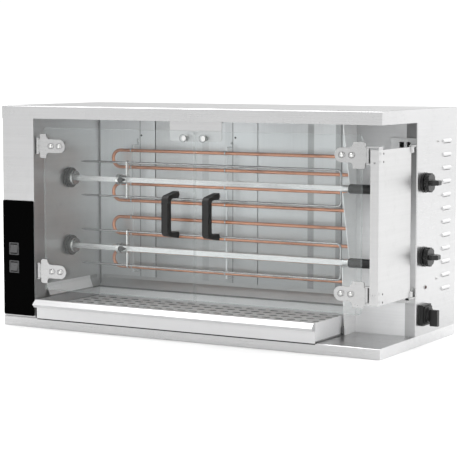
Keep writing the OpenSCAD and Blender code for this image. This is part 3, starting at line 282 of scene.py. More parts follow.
class Finish:
    """The nodes of one material, or of the room's light."""

    def __init__(self, owner, end="ShaderNodeOutputMaterial", coordinate="Object"):
        owner.use_nodes = True
        self.owner = owner
        self.tree = owner.node_tree
        self.tree.nodes.clear()
        self.end = self.tree.nodes.new(end)
        self.place = self.node("ShaderNodeTexCoord", output=coordinate)

    def node(self, kind, settings=None, values=None, output=0):
        """A new node with its settings, the values or wires of its inputs, and the wire of one output."""
        made = self.tree.nodes.new(kind)
        for key, value in (settings or {}).items():
            setattr(made, key, value)
        for key, value in (values or {}).items():
            self.feed(made.inputs[key], value)
        return Wire(self, made.outputs[output])

    def feed(self, socket, value):
        """Links a wire to a socket, or sets a value there."""
        if isinstance(value, Wire):
            self.tree.links.new(value.socket, socket)
        elif hasattr(value, "__len__") and len(value) == 3 and socket.type == "RGBA":
            socket.default_value = (*value, 1)
        else:
            socket.default_value = value

    def scaled(self, scale):
        """The place stretched by a scale for each axis."""
        return self.node("ShaderNodeMapping", {"vector_type": "POINT"},
                         {"Vector": self.place, "Scale": scale})

    def noise(self, scale, detail=2.0, roughness=0.5):
        """Noise at so many features a metre, one number or one for each axis."""
        scale = scale if hasattr(scale, "__len__") else (scale,) * 3
        return self.node("ShaderNodeTexNoise", {"noise_dimensions": "3D"},
                         {"Vector": self.scaled(scale), "Scale": 1.0, "Detail": detail,
                          "Roughness": roughness})

    def cells(self, scale):
        """A random colour for each cell, with so many cells a metre."""
        return self.node("ShaderNodeTexVoronoi", {"feature": "F1"},
                         {"Vector": self.scaled((scale,) * 3), "Scale": 1.0}, "Color")

    def axes(self, place=None):
        """The x, y and z of the place as three wires."""
        parts = self.node("ShaderNodeSeparateXYZ", values={0: place or self.place})
        return [Wire(self, parts.socket.node.outputs[i]) for i in range(3)]

    def blend(self, factor, low, high):
        """The colour low, going over to high as factor grows."""
        return self.node("ShaderNodeMix", {"data_type": "RGBA", "blend_type": "MIX"},
                         {0: factor, 6: low, 7: high}, 2)

    def shade(self, base, amount):
        """The colour base, made darker where amount is under 1."""
        grey = self.node("ShaderNodeCombineXYZ", values={0: amount, 1: amount, 2: amount})
        return self.node("ShaderNodeMix", {"data_type": "RGBA", "blend_type": "MULTIPLY"},
                         {0: 1.0, 6: base, 7: grey}, 2)

    def line(self, across, place, half):
        """1 on a thin line that an axis crosses at a place, and 0 beside it."""
        return 1.0 - abs(across - place).between(half, half * 1.5)

    def relief(self, height, depth, normal=None):
        """A normal from a height that goes from 0 to 1 over depth, in metres."""
        values = {"Height": height, "Strength": 1.0, "Distance": depth}
        if normal:
            values["Normal"] = normal
        return self.node("ShaderNodeBump", values=values)

    def surface(self, **values):
        """A Principled shader whose sockets are named with underscores, and the shader's wire."""
        return self.node("ShaderNodeBsdfPrincipled",
                         values={key.replace("_", " "): value for key, value in values.items()})

    def finished(self, shader):
        """The material or world, with the shader on its output."""
        self.feed(self.end.inputs["Surface"], shader)
        return self.owner


def new_finish(name):
    """An empty material to be finished."""
    return Finish(bpy.data.materials.new(name))


def brushed_steel(name, colour, line_axes, settings, roughness=0.3, metal=1.0, dimmed=None):
    """Sheet brushed so that the pattern is long on the axes that line_axes marks with 0.

    dimmed takes the finish and gives a factor on the colour, an amount added to the roughness
    and an amount taken off the metallic share.
    """
    finish = new_finish(name)
    fine = finish.noise([1600.0 if axis else 9.0 for axis in line_axes], detail=3.0)
    broad = finish.noise([210.0 if axis else 1.6 for axis in line_axes], detail=2.0)
    cloud = finish.noise(5.0, detail=3.0)
    rubbed = finish.noise(38.0, detail=4.0, roughness=0.65).between(0.52, 0.72)
    tone = 1.0 + (fine - 0.5) * (0.30 * settings.grain) + (broad - 0.5) * (0.28 * settings.grain)
    tone = tone + (cloud - 0.5) * 0.10 - rubbed * (0.10 * settings.wear)
    rough = (roughness + (fine - 0.5) * 0.12 + (cloud - 0.5) * 0.10
             + rubbed * (0.18 * settings.wear))
    if dimmed:
        factor, dull, chalky = dimmed(finish)
        tone, rough, metal = tone * factor, rough + dull, metal - chalky
    rough = rough.held()
    return finish.finished(finish.surface(
        Base_Color=finish.shade(colour, tone), Metallic=metal, Roughness=rough,
        Normal=finish.relief(fine, 0.00002 * (0.5 + settings.grain))))


def lining_steel(name, colour, settings):
    """Rolled sheet of the oven's back: a slow wave, heat haze, spatter, its seams, and painted shade in its
    corner and in broad bands.
    """
    finish = new_finish(name)
    wave = finish.noise((7.0, 7.0, 2.2), detail=1.0)
    rolled = finish.noise((420.0, 420.0, 5.0), detail=2.0)
    haze = finish.noise((3.0, 3.0, 4.5), detail=3.0)
    spatter = finish.noise(260.0, detail=2.0).between(0.70, 0.78)
    tone = 1.0 + (rolled - 0.5) * (0.30 * settings.grain) + (haze - 0.5) * 0.16
    tone = tone - spatter * (0.16 * settings.wear)
    x, _, z = finish.axes()
    # seams, and painted shade in the corner and in broad bands
    for line in BACK_LINES:
        tone = tone * (1.0 - finish.line(x, line.x, line.half) * line.depth)
    rising = 0.66 + z.between(0.10, 0.42) * 0.46
    tone = tone * rising * (1.0 + (x < FIRST_JOINT) * 0.28)
    tinted = finish.blend(haze.between(0.45, 0.8) * 0.10, colour, HEAT_HAZE)
    rough = (0.40 + (haze - 0.5) * 0.12 + spatter * 0.2).held()
    bumps = finish.relief(rolled, 0.000015, finish.relief(wave, 0.0016))
    return finish.finished(finish.surface(
        Base_Color=finish.shade(tinted, tone), Metallic=1.0, Roughness=rough, Normal=bumps))


def turned_steel(name, colour, ring_axes, settings, roughness=0.18, painted_shade=None):
    """Turned or drawn bar, with fine lines across the axes that ring_axes marks with 1.

    Its last argument takes the finish and gives a factor on the colour, which paints shade.
    """
    finish = new_finish(name)
    lines = finish.noise([2200.0 if axis else 14.0 for axis in ring_axes], detail=2.0)
    cloud = finish.noise(30.0, detail=3.0)
    scuff = finish.noise(140.0, detail=3.0, roughness=0.7).between(0.58, 0.72)
    tone = 1.0 + (lines - 0.5) * 0.16 + (cloud - 0.5) * 0.12 - scuff * (0.2 * settings.wear)
    if painted_shade:
        tone = tone * painted_shade(finish)
    rough = (roughness + (lines - 0.5) * 0.10 + scuff * 0.15).held()
    return finish.finished(finish.surface(
        Base_Color=finish.shade(colour, tone), Metallic=1.0, Roughness=rough,
        Normal=finish.relief(lines, 0.00002)))


def dark_steel(name, colour, settings, roughness=0.42):
    """Steel darkened by heat, with soot and rubbed spots."""
    finish = new_finish(name)
    soot = finish.noise(60.0, detail=4.0, roughness=0.6)
    grit = finish.noise(900.0, detail=2.0)
    rubbed = soot.between(0.55, 0.75)
    tone = 0.85 + (grit - 0.5) * 0.35 + rubbed * (0.9 * settings.wear)
    rough = (roughness + (soot - 0.5) * 0.25 - rubbed * 0.10).held()
    return finish.finished(finish.surface(
        Base_Color=finish.shade(colour, tone), Metallic=0.85, Roughness=rough,
        Normal=finish.relief(grit, 0.00006)))


def zinc_sheet(name, colour, settings):
    """Galvanised sheet with its spangle."""
    finish = new_finish(name)
    flake = finish.axes(finish.cells(90.0))[0]
    small = finish.axes(finish.cells(240.0))[1]
    cloud = finish.noise(8.0, detail=3.0)
    tone = 0.92 + flake * 0.16 + small * 0.06 + (cloud - 0.5) * 0.12
    rough = (0.38 + flake * 0.14 + (cloud - 0.5) * 0.1).held()
    return finish.finished(finish.surface(
        Base_Color=finish.shade(colour, tone), Metallic=1.0, Roughness=rough,
        Normal=finish.relief(small, 0.00002)))


def heater_sheath(name, settings, glow_edge):
    """Copper coloured sheath, tarnished in patches and paler near its cold ends."""
    finish = new_finish(name)
    patch = finish.noise((16.0, 16.0, 40.0), detail=4.0, roughness=0.6)
    grit = finish.noise(1500.0, detail=2.0)
    scale = finish.noise(220.0, detail=3.0).between(0.6, 0.75)
    along = finish.axes()[0]
    cold_start, cold_full = glow_edge - 0.03, glow_edge + 0.02
    cold = along.between(cold_start, cold_full)
    base = finish.blend(patch.between(0.40, 0.75) * 0.8, settings.copper, settings.tarnish)
    base = finish.blend(cold * 0.7, base, COLD_SHEATH)
    tone = 1.0 + (grit - 0.5) * 0.2 - scale * 0.25
    rough = (0.34 + (patch - 0.5) * 0.25 + scale * 0.2).held()
    return finish.finished(finish.surface(
        Base_Color=finish.shade(base, tone), Metallic=0.9, Roughness=rough,
        Normal=finish.relief(grit, 0.00004)))


def moulded_plastic(name, colour, roughness=0.42, shine=0.4):
    """Moulded plastic with spark-eroded grain, slight polish and dust."""
    finish = new_finish(name)
    grain = finish.noise(1400.0, detail=2.0)
    flow = finish.noise(26.0, detail=3.0)
    dust = finish.noise(420.0, detail=3.0, roughness=0.7).between(0.62, 0.8)
    tone = 1.0 + (flow - 0.5) * 0.35 + (grain - 0.5) * 0.2
    base = finish.blend(dust * 0.05, finish.shade(colour, tone), PLASTIC_DUST)
    rough = (roughness + (flow - 0.5) * 0.2 + dust * 0.15).held()
    return finish.finished(finish.surface(
        Base_Color=base, Metallic=0.0, Roughness=rough, Specular_IOR_Level=shine,
        Normal=finish.relief(grain, 0.00007)))


def glossy_panel(name, colour):
    """Back-painted glossy panel with faint dust and wipe marks."""
    finish = new_finish(name)
    wipe = finish.noise((10.0, 10.0, 26.0), detail=4.0, roughness=0.6)
    dust = finish.noise(900.0, detail=2.0).between(0.70, 0.82)
    slow = finish.noise(12.0, detail=1.0)
    base = finish.blend(dust * 0.02, colour, PANEL_DUST)
    rough = (0.05 + wipe.between(0.45, 0.8) * 0.09 + dust * 0.2).held()
    return finish.finished(finish.surface(
        Base_Color=base, Metallic=0.0, Roughness=rough, Specular_IOR_Level=0.01,
        Normal=finish.relief(slow, 0.0001)))


def door_glass(name, settings, low, high):
    """Clear toughened glass with ground edges, for a pane from low to high."""
    finish = new_finish(name)
    x, _, z = finish.axes()
    inset_x = (x - low.x).smaller(high.x - x)
    inset_z = (z - low.z).smaller(high.z - z)
    edge = 1.0 - inset_x.smaller(inset_z).between(settings.edge_width * 0.6, settings.edge_width)
    smear = finish.noise((14.0, 14.0, 5.0), detail=4.0, roughness=0.6).between(0.50, 0.80)
    dust = finish.noise(700.0, detail=2.0).between(0.72, 0.82)
    facing = finish.node("ShaderNodeLayerWeight", values={"Blend": 0.5}, output="Facing")
    mirror = 0.03 + 0.9 * facing ** 5.0
    share = (mirror + dust * 0.05 + smear * 0.012 + edge * 0.12).held()
    skin = finish.surface(
        Base_Color=finish.blend(edge, settings.body, settings.edge), Metallic=0.0,
        Roughness=(0.03 + smear * 0.05 + edge * 0.35).held(), Specular_IOR_Level=0.5,
        Normal=finish.relief(finish.noise(9.0, detail=1.0), 0.0002))
    polished = finish.node(
        "ShaderNodeBsdfAnisotropic", values={"Color": settings.gloss, "Roughness": 0.02})
    face = finish.node("ShaderNodeMixShader", values={0: edge, 1: polished, 2: skin})
    clear = finish.node("ShaderNodeBsdfTransparent", values={"Color": settings.tint})
    return finish.finished(finish.node("ShaderNodeMixShader", values={0: share, 1: clear, 2: face}))


def oven_paint(name, colour):
    """Sprayed paint with orange peel."""
    finish = new_finish(name)
    peel = finish.noise(330.0, detail=2.0)
    cloud = finish.noise(20.0, detail=3.0)
    chip = finish.noise(120.0, detail=4.0, roughness=0.7).between(0.70, 0.76)
    base = finish.blend(chip * 0.5, finish.shade(colour, 1.0 + (cloud - 0.5) * 0.3), CHIPPED_PAINT)
    return finish.finished(finish.surface(
        Base_Color=base, Metallic=0.0, Roughness=(0.38 + (cloud - 0.5) * 0.2).held(),
        Normal=finish.relief(peel, 0.0001)))


def lamp_finish(name, settings, node):
    """A pale rim round a dark lens, by distance from the lamp's axis."""
    finish = new_finish(name)
    low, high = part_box(node)
    middle = (low + high) / 2
    _, y, z = finish.axes()
    away = ((y - middle.y) ** 2.0 + (z - middle.z) ** 2.0) ** 0.5
    lens_radius = 0.0037
    rim = away.between(lens_radius, lens_radius + 0.0003)
    ribs = finish.noise((300.0, 300.0, 1500.0), detail=1.0)
    base = finish.blend(rim, finish.shade(settings.lens, 0.8 + ribs * 0.4), LAMP_RIM)
    return finish.finished(finish.surface(
        Base_Color=base, Metallic=0.0, Roughness=(0.12 + rim * 0.3 + ribs * 0.05).held(),
        Normal=finish.relief(ribs, 0.0002)))


def dress(material, *nodes):
    """Gives CAD nodes a finish."""
    for name in nodes:
        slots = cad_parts[name].data.materials
        if not slots:
            slots.append(material)
        for i in range(len(slots)):
            slots[i] = material


# ---------------------------------------------------------------- pieces

def new_piece(name, shape, material, body):
    """A smooth shaded object at the origin made from a bmesh, riding on a body."""
    shape.normal_update()
    for face in shape.faces:
        face.smooth = True
    for edge in shape.edges:
        edge.smooth = len(edge.link_faces) == 2 and edge.calc_face_angle(math.pi) < SMOOTH_ANGLE
    mesh = bpy.data.meshes.new(name)
    shape.to_mesh(mesh)
    shape.free()
    mesh.materials.append(material)
    piece = bpy.data.objects.new(name, mesh)
    bpy.context.scene.collection.objects.link(piece)
    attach(piece, body)
    return piece


def loose_parts(node):
    """The lowest and highest corner of each separate solid of a CAD node."""
    shape = bmesh.new()
    shape.from_mesh(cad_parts[node].data)
    bmesh.ops.remove_doubles(shape, verts=shape.verts, dist=WELD_DISTANCE)
    left, boxes = set(shape.verts), []
    while left:
        edge_of_search, found = [left.pop()], set()
        while edge_of_search:
            vert = edge_of_search.pop()
            found.add(vert)
            for edge in vert.link_edges:
                other = edge.other_vert(vert)
                if other in left:
                    left.discard(other)
                    edge_of_search.append(other)
        corners = [v.co for v in found]
        boxes.append((Vector(map(min, zip(*corners))), Vector(map(max, zip(*corners)))))
    shape.free()
    return sorted(boxes, key=lambda box: tuple(round(c, 6) for c in box[0]))


def turned_onto(direction, place):
    """The matrix that stands a shape made along +Z on a place, pointing in a direction."""
    return Matrix.Translation(place) @ Vector(direction).to_track_quat("Z", "Y").to_matrix().to_4x4()


def cross_point(angle, reach, half):
    """The point of a cross-shaped outline that the screw head's side at an angle moves to."""
    side = round(angle / math.tau * ROUND_SIDES) + 1
    quarter, part = divmod(side % ROUND_SIDES, ROUND_SIDES // 4)
    corner = ((reach, -half), (reach, 0), (reach, half), ((reach + half) / 2, half),
              (half, half), (half, (reach + half) / 2))[part]
    return Matrix.Rotation(quarter * math.pi / 2, 2) @ Vector(corner)


def drawn_up(shape, faces, rise, share):
    """Extrudes faces by a rise, drawn in to a share of their size, and gives the new ones."""
    made = bmesh.ops.extrude_face_region(shape, geom=faces)["geom"]
    verts = [item for item in made if isinstance(item, bmesh.types.BMVert)]
    bmesh.ops.scale(shape, verts=verts, vec=(share, share, 1.0))
    bmesh.ops.translate(shape, verts=verts, vec=(0, 0, rise))
    return [item for item in made if isinstance(item, bmesh.types.BMFace)]


def recessed_head(radius, height, reach, half):
    """A pan head with a cross recess, standing on z = 0.

    reach and half are the arms' length and half their width, as shares of the radius.
    """
    rises_and_shares = ((0.50, 1.0), (0.28, 0.93), (0.16, 0.84), (0.06, 0.86), (0.0, 0.97))
    recess_depth, recess_taper = 0.55, 0.72
    head = bmesh.new()
    bmesh.ops.create_circle(head, cap_ends=True, segments=ROUND_SIDES, radius=radius)
    top = head.faces[:]
    for rise, share in rises_and_shares:
        top = drawn_up(head, top, rise * height, share)
    for vert in {vert for face in top for vert in face.verts}:
        vert.co.xy = cross_point(math.atan2(vert.co.y, vert.co.x), reach * radius, half * radius)
    drawn_up(head, top, -recess_depth * height, recess_taper)
    bmesh.ops.recalc_face_normals(head, faces=head.faces)
    return head


def joined(shapes_and_places):
    """One bmesh from several, each moved by its matrix."""
    if not shapes_and_places:
        raise RuntimeError("the grill has no part to set these fittings on")
    whole = bmesh.new()
    for shape, matrix in shapes_and_places:
        bmesh.ops.transform(shape, matrix=matrix, verts=shape.verts)
        mesh = bpy.data.meshes.new("part")
        shape.to_mesh(mesh)
        shape.free()
        whole.from_mesh(mesh)
        bpy.data.meshes.remove(mesh)
    return whole


def spun(profile):
    """A closed shape spun about z from a profile of (distance, height) points."""
    shape = bmesh.new()
    verts = [shape.verts.new((distance, 0.0, height)) for distance, height in profile]
    edges = [shape.edges.new(pair) for pair in zip(verts, verts[1:])]
    if profile[0][0] > 0 and profile[-1][0] > 0:
        edges.append(shape.edges.new((verts[-1], verts[0])))
    bmesh.ops.spin(shape, geom=verts + edges, cent=(0, 0, 0), axis=(0, 0, 1),
                   angle=math.tau, steps=ROUND_SIDES, use_merge=True)
    bmesh.ops.remove_doubles(shape, verts=shape.verts, dist=WELD_DISTANCE)
    bmesh.ops.recalc_face_normals(shape, faces=shape.faces)
    return shape


def domed_head(radius, height):
    """A rivet head that stands on z = 0."""
    steps = 6
    angles = [i / steps * math.pi / 2 for i in range(steps)]
    curve = [(radius * math.cos(angle), height * math.sin(angle)) for angle in angles]
    return spun([(0.0, 0.0), *curve, (0.0, height)])


# ---------------------------------------------------------------- operators

class GRILL_OT_studio(bpy.types.Operator):
    """Make the floor, the light and the camera"""
    bl_idname = "grill.studio"
    bl_label = "Studio"

    def execute(self, context):
        settings = context.scene.grill_studio
        scene = context.scene
        scene.view_settings.view_transform = "Standard"
        shape = bmesh.new()
        bmesh.ops.create_grid(shape, x_segments=8, y_segments=8, size=settings.floor_side / 2)
        mesh = bpy.data.meshes.new("studio_floor")
        shape.to_mesh(mesh)
        shape.free()
        floor = bpy.data.objects.new("studio_floor", mesh)
        floor.location.z = cad_box[0][2] - FLOOR_GAP
        scene.collection.objects.link(floor)
        finish = new_finish("studio_paper")
        paper = finish.noise(40.0, detail=2.0)
        mesh.materials.append(finish.finished(finish.surface(
            Base_Color=finish.shade(settings.floor_colour, 0.99 + paper * 0.02),
            Roughness=0.9, Specular_IOR_Level=0.1)))

        sky = Finish(bpy.data.worlds.new("studio_room"), "ShaderNodeOutputWorld", "Generated")
        x, y, _ = sky.axes()
        back_way = Vector((0.6, 0.8))
        back = (x * back_way.x + y * back_way.y).between(0.25, 0.95)
        scene.world = sky.finished(sky.node("ShaderNodeBackground", values={
            "Color": (1, 1, 1), "Strength": settings.room_light + back * settings.back_light}))

        for name, place, aim, power, width, depth in (
                ("studio_key", (-1.0, -0.55, 2.2), (0.1, 0, 0.1), settings.key_power,
                 settings.key_width, settings.key_depth),
                ("studio_side", (2.3, 2.6, 2.6), (1.9, 2.2, 0), settings.side_power,
                 settings.side_size, settings.side_size)):
            light = bpy.data.lights.new(name, "AREA")
            light.shape = "RECTANGLE"
            light.energy, light.size, light.size_y = power, width, depth
            lamp = bpy.data.objects.new(name, light)
            lamp.location = place
            lamp.rotation_euler = (Vector(aim) - lamp.location).to_track_quat("-Z", "Y").to_euler()
            scene.collection.objects.link(lamp)

        lens = bpy.data.cameras.new("studio_camera")
        lens.sensor_width = SENSOR_MM
        lens.lens = settings.camera_focus / RENDER_PIXELS * SENSOR_MM
        camera = bpy.data.objects.new("studio_camera", lens)
        camera.location = settings.camera_place
        camera.rotation_euler = Euler((math.pi / 2 - settings.camera_dip, 0.0, settings.camera_heading))
        scene.collection.objects.link(camera)
        scene.camera = camera
        return {"FINISHED"}


class GRILL_OT_cabinet_sheets(bpy.types.Operator):
    """Brush the outer sheets of the cabinet"""
    bl_idname = "grill.cabinet_sheets"
    bl_label = "Cabinet sheets"

    def execute(self, context):
        steel = context.scene.grill_steel
        face_depth, side_depth, guard_shade_width = 0.0005, 0.006, 0.024
        column_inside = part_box("right_cover")[1].x - side_depth
        cap_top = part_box("top_cap")[1].z - face_depth
        base_low, base_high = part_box("base_pan")
        drawer_low, drawer_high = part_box("drawer_front")
        # where the painted shadow lines under and beside the drawer's front lie, with their half widths
        shadow_line_z, under_half = drawer_low.z - 0.0012, 0.0014
        shadow_line_x, beside_half = drawer_high.x + 0.001, 0.0016

        def column(finish):
            """Chalky inner sides, with painted shade that grows with height and a painted shadow behind the
            guard.
            """
            x, _, z = finish.axes()
            inside = x < column_inside
            # painted shade: darker with height, and a painted shadow along the guard's side
            shade = z.between(0.20, 0.42) * 0.62 + (x > column_inside - guard_shade_width) * 0.75
            return 1.0 + inside * (0.66 - shade), inside * 0.25, inside * 0.75

        def below_drawer(finish):
            """Painted shadow lines under and beside the drawer's front, and a right side painted lighter."""
            x, y, z = finish.axes()
            # painted shadow under the drawer's front and beside it
            under = finish.line(z, shadow_line_z, under_half) * (y < base_low.y + 2 * face_depth)
            under = under * (x > drawer_low.x) * (x < drawer_high.x)
            beside = finish.line(x, shadow_line_x, beside_half) * (z > drawer_low.z) * (y < 0.0)
            # painted light: the right side made lighter
            side = (x > base_high.x - face_depth) * 0.3
            return 1.0 - (under + beside) * 0.9 + side, 0.0, 0.0

        def top_face(finish):
            """Painted shade on the top, which the lamps would bleach."""
            return 1.0 - (finish.axes()[2] > cap_top) * 0.5, 0.0, 0.0

        dress(brushed_steel("satin_front", steel.satin, (0, 0, 1), steel), "left_cover", "catch_plate")
        dress(brushed_steel("satin_column", steel.satin, (0, 0, 1), steel, dimmed=column), "right_cover")
        dress(brushed_steel("column_wall", steel.column, (0, 0, 1), steel, roughness=0.5, metal=0.25),
              "right_cavity_wall")
        dress(brushed_steel("satin_cap", steel.satin, (0, 1, 1), steel, roughness=0.28, dimmed=top_face),
              "top_cap")
        dress(brushed_steel("satin_base", steel.satin, (0, 1, 1), steel, roughness=0.28,
                            dimmed=below_drawer), "base_pan")
        dress(brushed_steel("satin_rear", steel.rear, (0, 0, 1), steel, roughness=0.36), "rear_panel")
        dress(brushed_steel("guard_steel", steel.guard, (0, 0, 1), steel, roughness=0.34), "side_guard")
        dress(brushed_steel("bracket_steel", steel.leaf, (1, 1, 0), steel, roughness=0.32),
              "guard_hinges", "hinge_brackets_left", "hinge_brackets_right")
        dress(zinc_sheet("zinc_base", steel.zinc, steel), "base_cover", "cavity_roof")
        return {"FINISHED"}


class GRILL_OT_oven_linings(bpy.types.Operator):
    """Finish the oven's walls, back, runners and drip parts"""
    bl_idname = "grill.oven_linings"
    bl_label = "Oven linings"

    def execute(self, context):
        steel = context.scene.grill_steel
        low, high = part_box("drip_deflectors")
        sheet_width, foot_height = 0.045, 0.003
        tray_low, tray_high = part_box("drip_tray")
        tray_sheet, near = 0.0012, 0.0004
        insert_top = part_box("tray_insert")[1].z - near / 2

        def deflected(finish):
            """A darker back sheet, a pale dull left sheet and painted shade along the foot."""
            x, y, z = finish.axes()
            back = y > high.y - sheet_width
            left = (x < low.x + sheet_width) * (1.0 - back)
            # painted shade along the foot of the sheets
            foot = (z < low.z + foot_height) * 0.6
            return (1.0 - back * 0.22 + left * 0.75) * (1.0 - foot), 0.10, left * 0.7

        def drawer_sides(finish):
            """A floor painted darker as shade under the insert, and paler outer sides."""
            x, y, z = finish.axes()
            floor = tray_low.z + tray_sheet
            # painted shade on the tray's floor under the insert
            painted_floor_shade = (z > floor - near) * (z < floor + near)
            outer = (x > tray_high.x - near).larger(y > tray_high.y - tray_sheet - near)
            return (1.0 - painted_floor_shade * 0.85) * (1.0 + outer * 0.35), 0.0, outer * 0.4

        def slot_walls(finish):
            """Painted shade in the slots, which are all that lies below the insert's top."""
            return 1.0 - (finish.axes()[2] < insert_top) * 0.85, 0.0, 0.0

        dress(lining_steel("back_lining", steel.lining, steel), "cavity_back")
        dress(brushed_steel("oven_wall", steel.wall, (1, 0, 1), steel, roughness=0.38),
              "left_cavity_wall")
        dress(brushed_steel("drip_sheets", steel.satin, (0, 1, 1), steel, roughness=0.3, dimmed=deflected),
              "tray_runners", "drip_deflectors")
        dress(brushed_steel("drawer_steel", steel.drawer, (0, 1, 1), steel, roughness=0.34, metal=0.7),
              "drawer_front")
        dress(brushed_steel("drawer_inside", steel.drawer, (0, 1, 1), steel, roughness=0.34, metal=0.7,
                            dimmed=drawer_sides), "drip_tray")
        dress(brushed_steel("drawer_screen", steel.screen, (0, 1, 1), steel, roughness=0.45, metal=0.2,
                            dimmed=slot_walls), "tray_insert")
        return {"FINISHED"}


class GRILL_OT_glass_doors(bpy.types.Operator):
    """Finish the glass doors, their hinges, bolts and handles"""
    bl_idname = "grill.glass_doors"
    bl_label = "Glass doors"

    def execute(self, context):
        steel = context.scene.grill_steel
        for side in ("left", "right"):
            pane = "glass_" + side
            dress(door_glass("pane_" + side, context.scene.grill_glass, *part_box(pane)), pane)
        dress(brushed_steel("hinge_leaves", steel.leaf, (0, 1, 1), steel, roughness=0.26),
              "hinge_plates_left", "hinge_plates_right")
        dress(turned_steel("polished_bolts", steel.bright, (1, 0, 1), steel, roughness=0.14),
              "door_bolts_left", "door_bolts_right")
        dress(moulded_plastic("handle_plastic", context.scene.grill_plastic.handle, roughness=0.5,
                              shine=0.3), "handle_left", "handle_right")
        return {"FINISHED"}


class GRILL_OT_spit_sets(bpy.types.Operator):
    """Finish the spits, forks, sliders, screws and drive sockets"""
    bl_idname = "grill.spit_sets"
    bl_label = "Spit sets"

    def execute(self, context):
        steel = context.scene.grill_steel
        plastic = context.scene.grill_plastic
        heater = context.scene.grill_heater
        root, mouth = (corner.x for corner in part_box("drive_coupling_upper"))
        groove_place, groove_half = root + (mouth - root) * 0.35, 0.0008
        rim_start = mouth - 0.0012

        def socket_rings(finish):
            """Painted shade: a dark line for a groove round a socket, and a dark rim at its mouth."""
            x = finish.axes()[0]
            # painted shade of a groove, and at the socket's mouth
            groove = finish.line(x, groove_place, groove_half)
            return (1.0 - groove * 0.8) * (1.0 - (x > rim_start) * 0.7)

        spit = turned_steel("spit_bar", steel.spit, (0, 1, 1), steel, roughness=0.28)
        fork = turned_steel("fork_rod", steel.rod, (0, 1, 1), steel, roughness=0.14)
        slide = turned_steel("slider_steel", steel.bright, (1, 0, 0), steel, roughness=0.24)
        socket = turned_steel("socket_steel", steel.bright, (1, 0, 0), steel, roughness=0.22,
                              painted_shade=socket_rings)
        shield = dark_steel("shield_steel", steel.shield, steel)
        screw = dark_steel("screw_steel", steel.dark, steel, roughness=0.36)
        grip = moulded_plastic("grip_plastic", plastic.black, roughness=0.38)
        bush = turned_steel("bush_brass", heater.brass, (1, 0, 0), steel, roughness=0.25)
        for level in ("upper", "lower"):
            dress(spit, "spit_" + level)
            dress(fork, "fork_" + level)
            dress(slide, "fork_slider_" + level)
            dress(socket, "drive_coupling_" + level)
            dress(shield, "drive_disc_" + level)
            dress(screw, "thumb_screw_" + level)
            dress(grip, "spit_grip_" + level)
        dress(bush, "shaft_bushes")
        return {"FINISHED"}


class GRILL_OT_heaters(bpy.types.Operator):
    """Finish the tubular heaters with their supports and nuts"""
    bl_idname = "grill.heaters"
    bl_label = "Heaters"

    def execute(self, context):
        heater = context.scene.grill_heater
        steel = context.scene.grill_steel
        cold_length = 0.045
        cold_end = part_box("heating_elements")[1].x - cold_length
        dress(heater_sheath("heater_sheath", heater, cold_end), "heating_elements")
        dress(brushed_steel("support_strip", steel.lining, (1, 1, 0), steel, roughness=0.3),
              "element_supports")
        dress(turned_steel("union_brass", heater.brass, (1, 0, 0), steel, roughness=0.25),
              "element_nuts")
        return {"FINISHED"}


class GRILL_OT_controls(bpy.types.Operator):
    """Finish the knobs, the switches, the lamp and the black panel"""
    bl_idname = "grill.controls"
    bl_label = "Controls"

    def execute(self, context):
        plastic = context.scene.grill_plastic
        dress(glossy_panel("black_panel", plastic.panel), "control_panel")
        dress(moulded_plastic("knob_plastic", plastic.black, roughness=0.36), "knob_upper", "knob_lower")
        dress(moulded_plastic("switch_plastic", plastic.black, roughness=0.46),
              "main_switch_base", "main_switch_grip")
        dress(moulded_plastic("bezel_plastic", plastic.bezel, roughness=0.4), "switch_bodies")
        dress(moulded_plastic("rocker_plastic", plastic.rocker, roughness=0.3),
              "rocker_upper", "rocker_lower")
        dress(lamp_finish("lamp_plastic", plastic, "pilot_lamp"), "pilot_lamp")
        return {"FINISHED"}


class GRILL_OT_hidden_works(bpy.types.Operator):
    """Finish the motors, regulators, terminals and the cable gland"""
    bl_idname = "grill.hidden_works"
    bl_label = "Hidden works"

    def execute(self, context):
        plastic = context.scene.grill_plastic
        steel = context.scene.grill_steel
        dress(oven_paint("motor_paint", plastic.motor), "gearmotors")
        dress(moulded_plastic("regulator_plastic", plastic.regulator, roughness=0.45), "regulators")
        dress(moulded_plastic("terminal_plastic", plastic.pale, roughness=0.45), "terminal_block")
        dress(moulded_plastic("gland_plastic", plastic.black, roughness=0.4), "cable_gland")
        dress(dark_steel("fastener_steel", steel.dark, steel), "housing_screws")
        return {"FINISHED"}


class GRILL_OT_cover_screws(bpy.types.Operator):
    """Set recessed pan heads where the cabinet's screws are"""
    bl_idname = "grill.cover_screws"
    bl_label = "Cover screws"

    def execute(self, context):
        fitting = context.scene.grill_fitting
        steel = context.scene.grill_steel
        side_zone = 0.01
        side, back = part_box("right_cover")[1].x - side_zone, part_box("rear_panel")[0].y
        heads = []
        for low, high in loose_parts("housing_screws"):
            size, middle = high - low, (low + high) / 2
            if high.x > side and size.x < size.y:
                way, foot = Vector((1, 0, 0)), Vector((low.x, middle.y, middle.z))
            elif middle.y > back:
                way, foot = Vector((0, 1, 0)), Vector((middle.x, low.y, middle.z))
            else:
                way, foot = Vector((0, -1, 0)), Vector((middle.x, high.y, middle.z))
            radius, height = max(size) / 2, min(size)
            heads.append((recessed_head(radius, height, fitting.recess_share, fitting.recess_width),
                          turned_onto(way, foot)))
        piece = new_piece("cover_screws", joined(heads),
                          turned_steel("screw_zinc", steel.bright, (1, 1, 1), steel, roughness=0.3),
                          "cabinet")
        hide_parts("housing_screws")
        return {"FINISHED"}


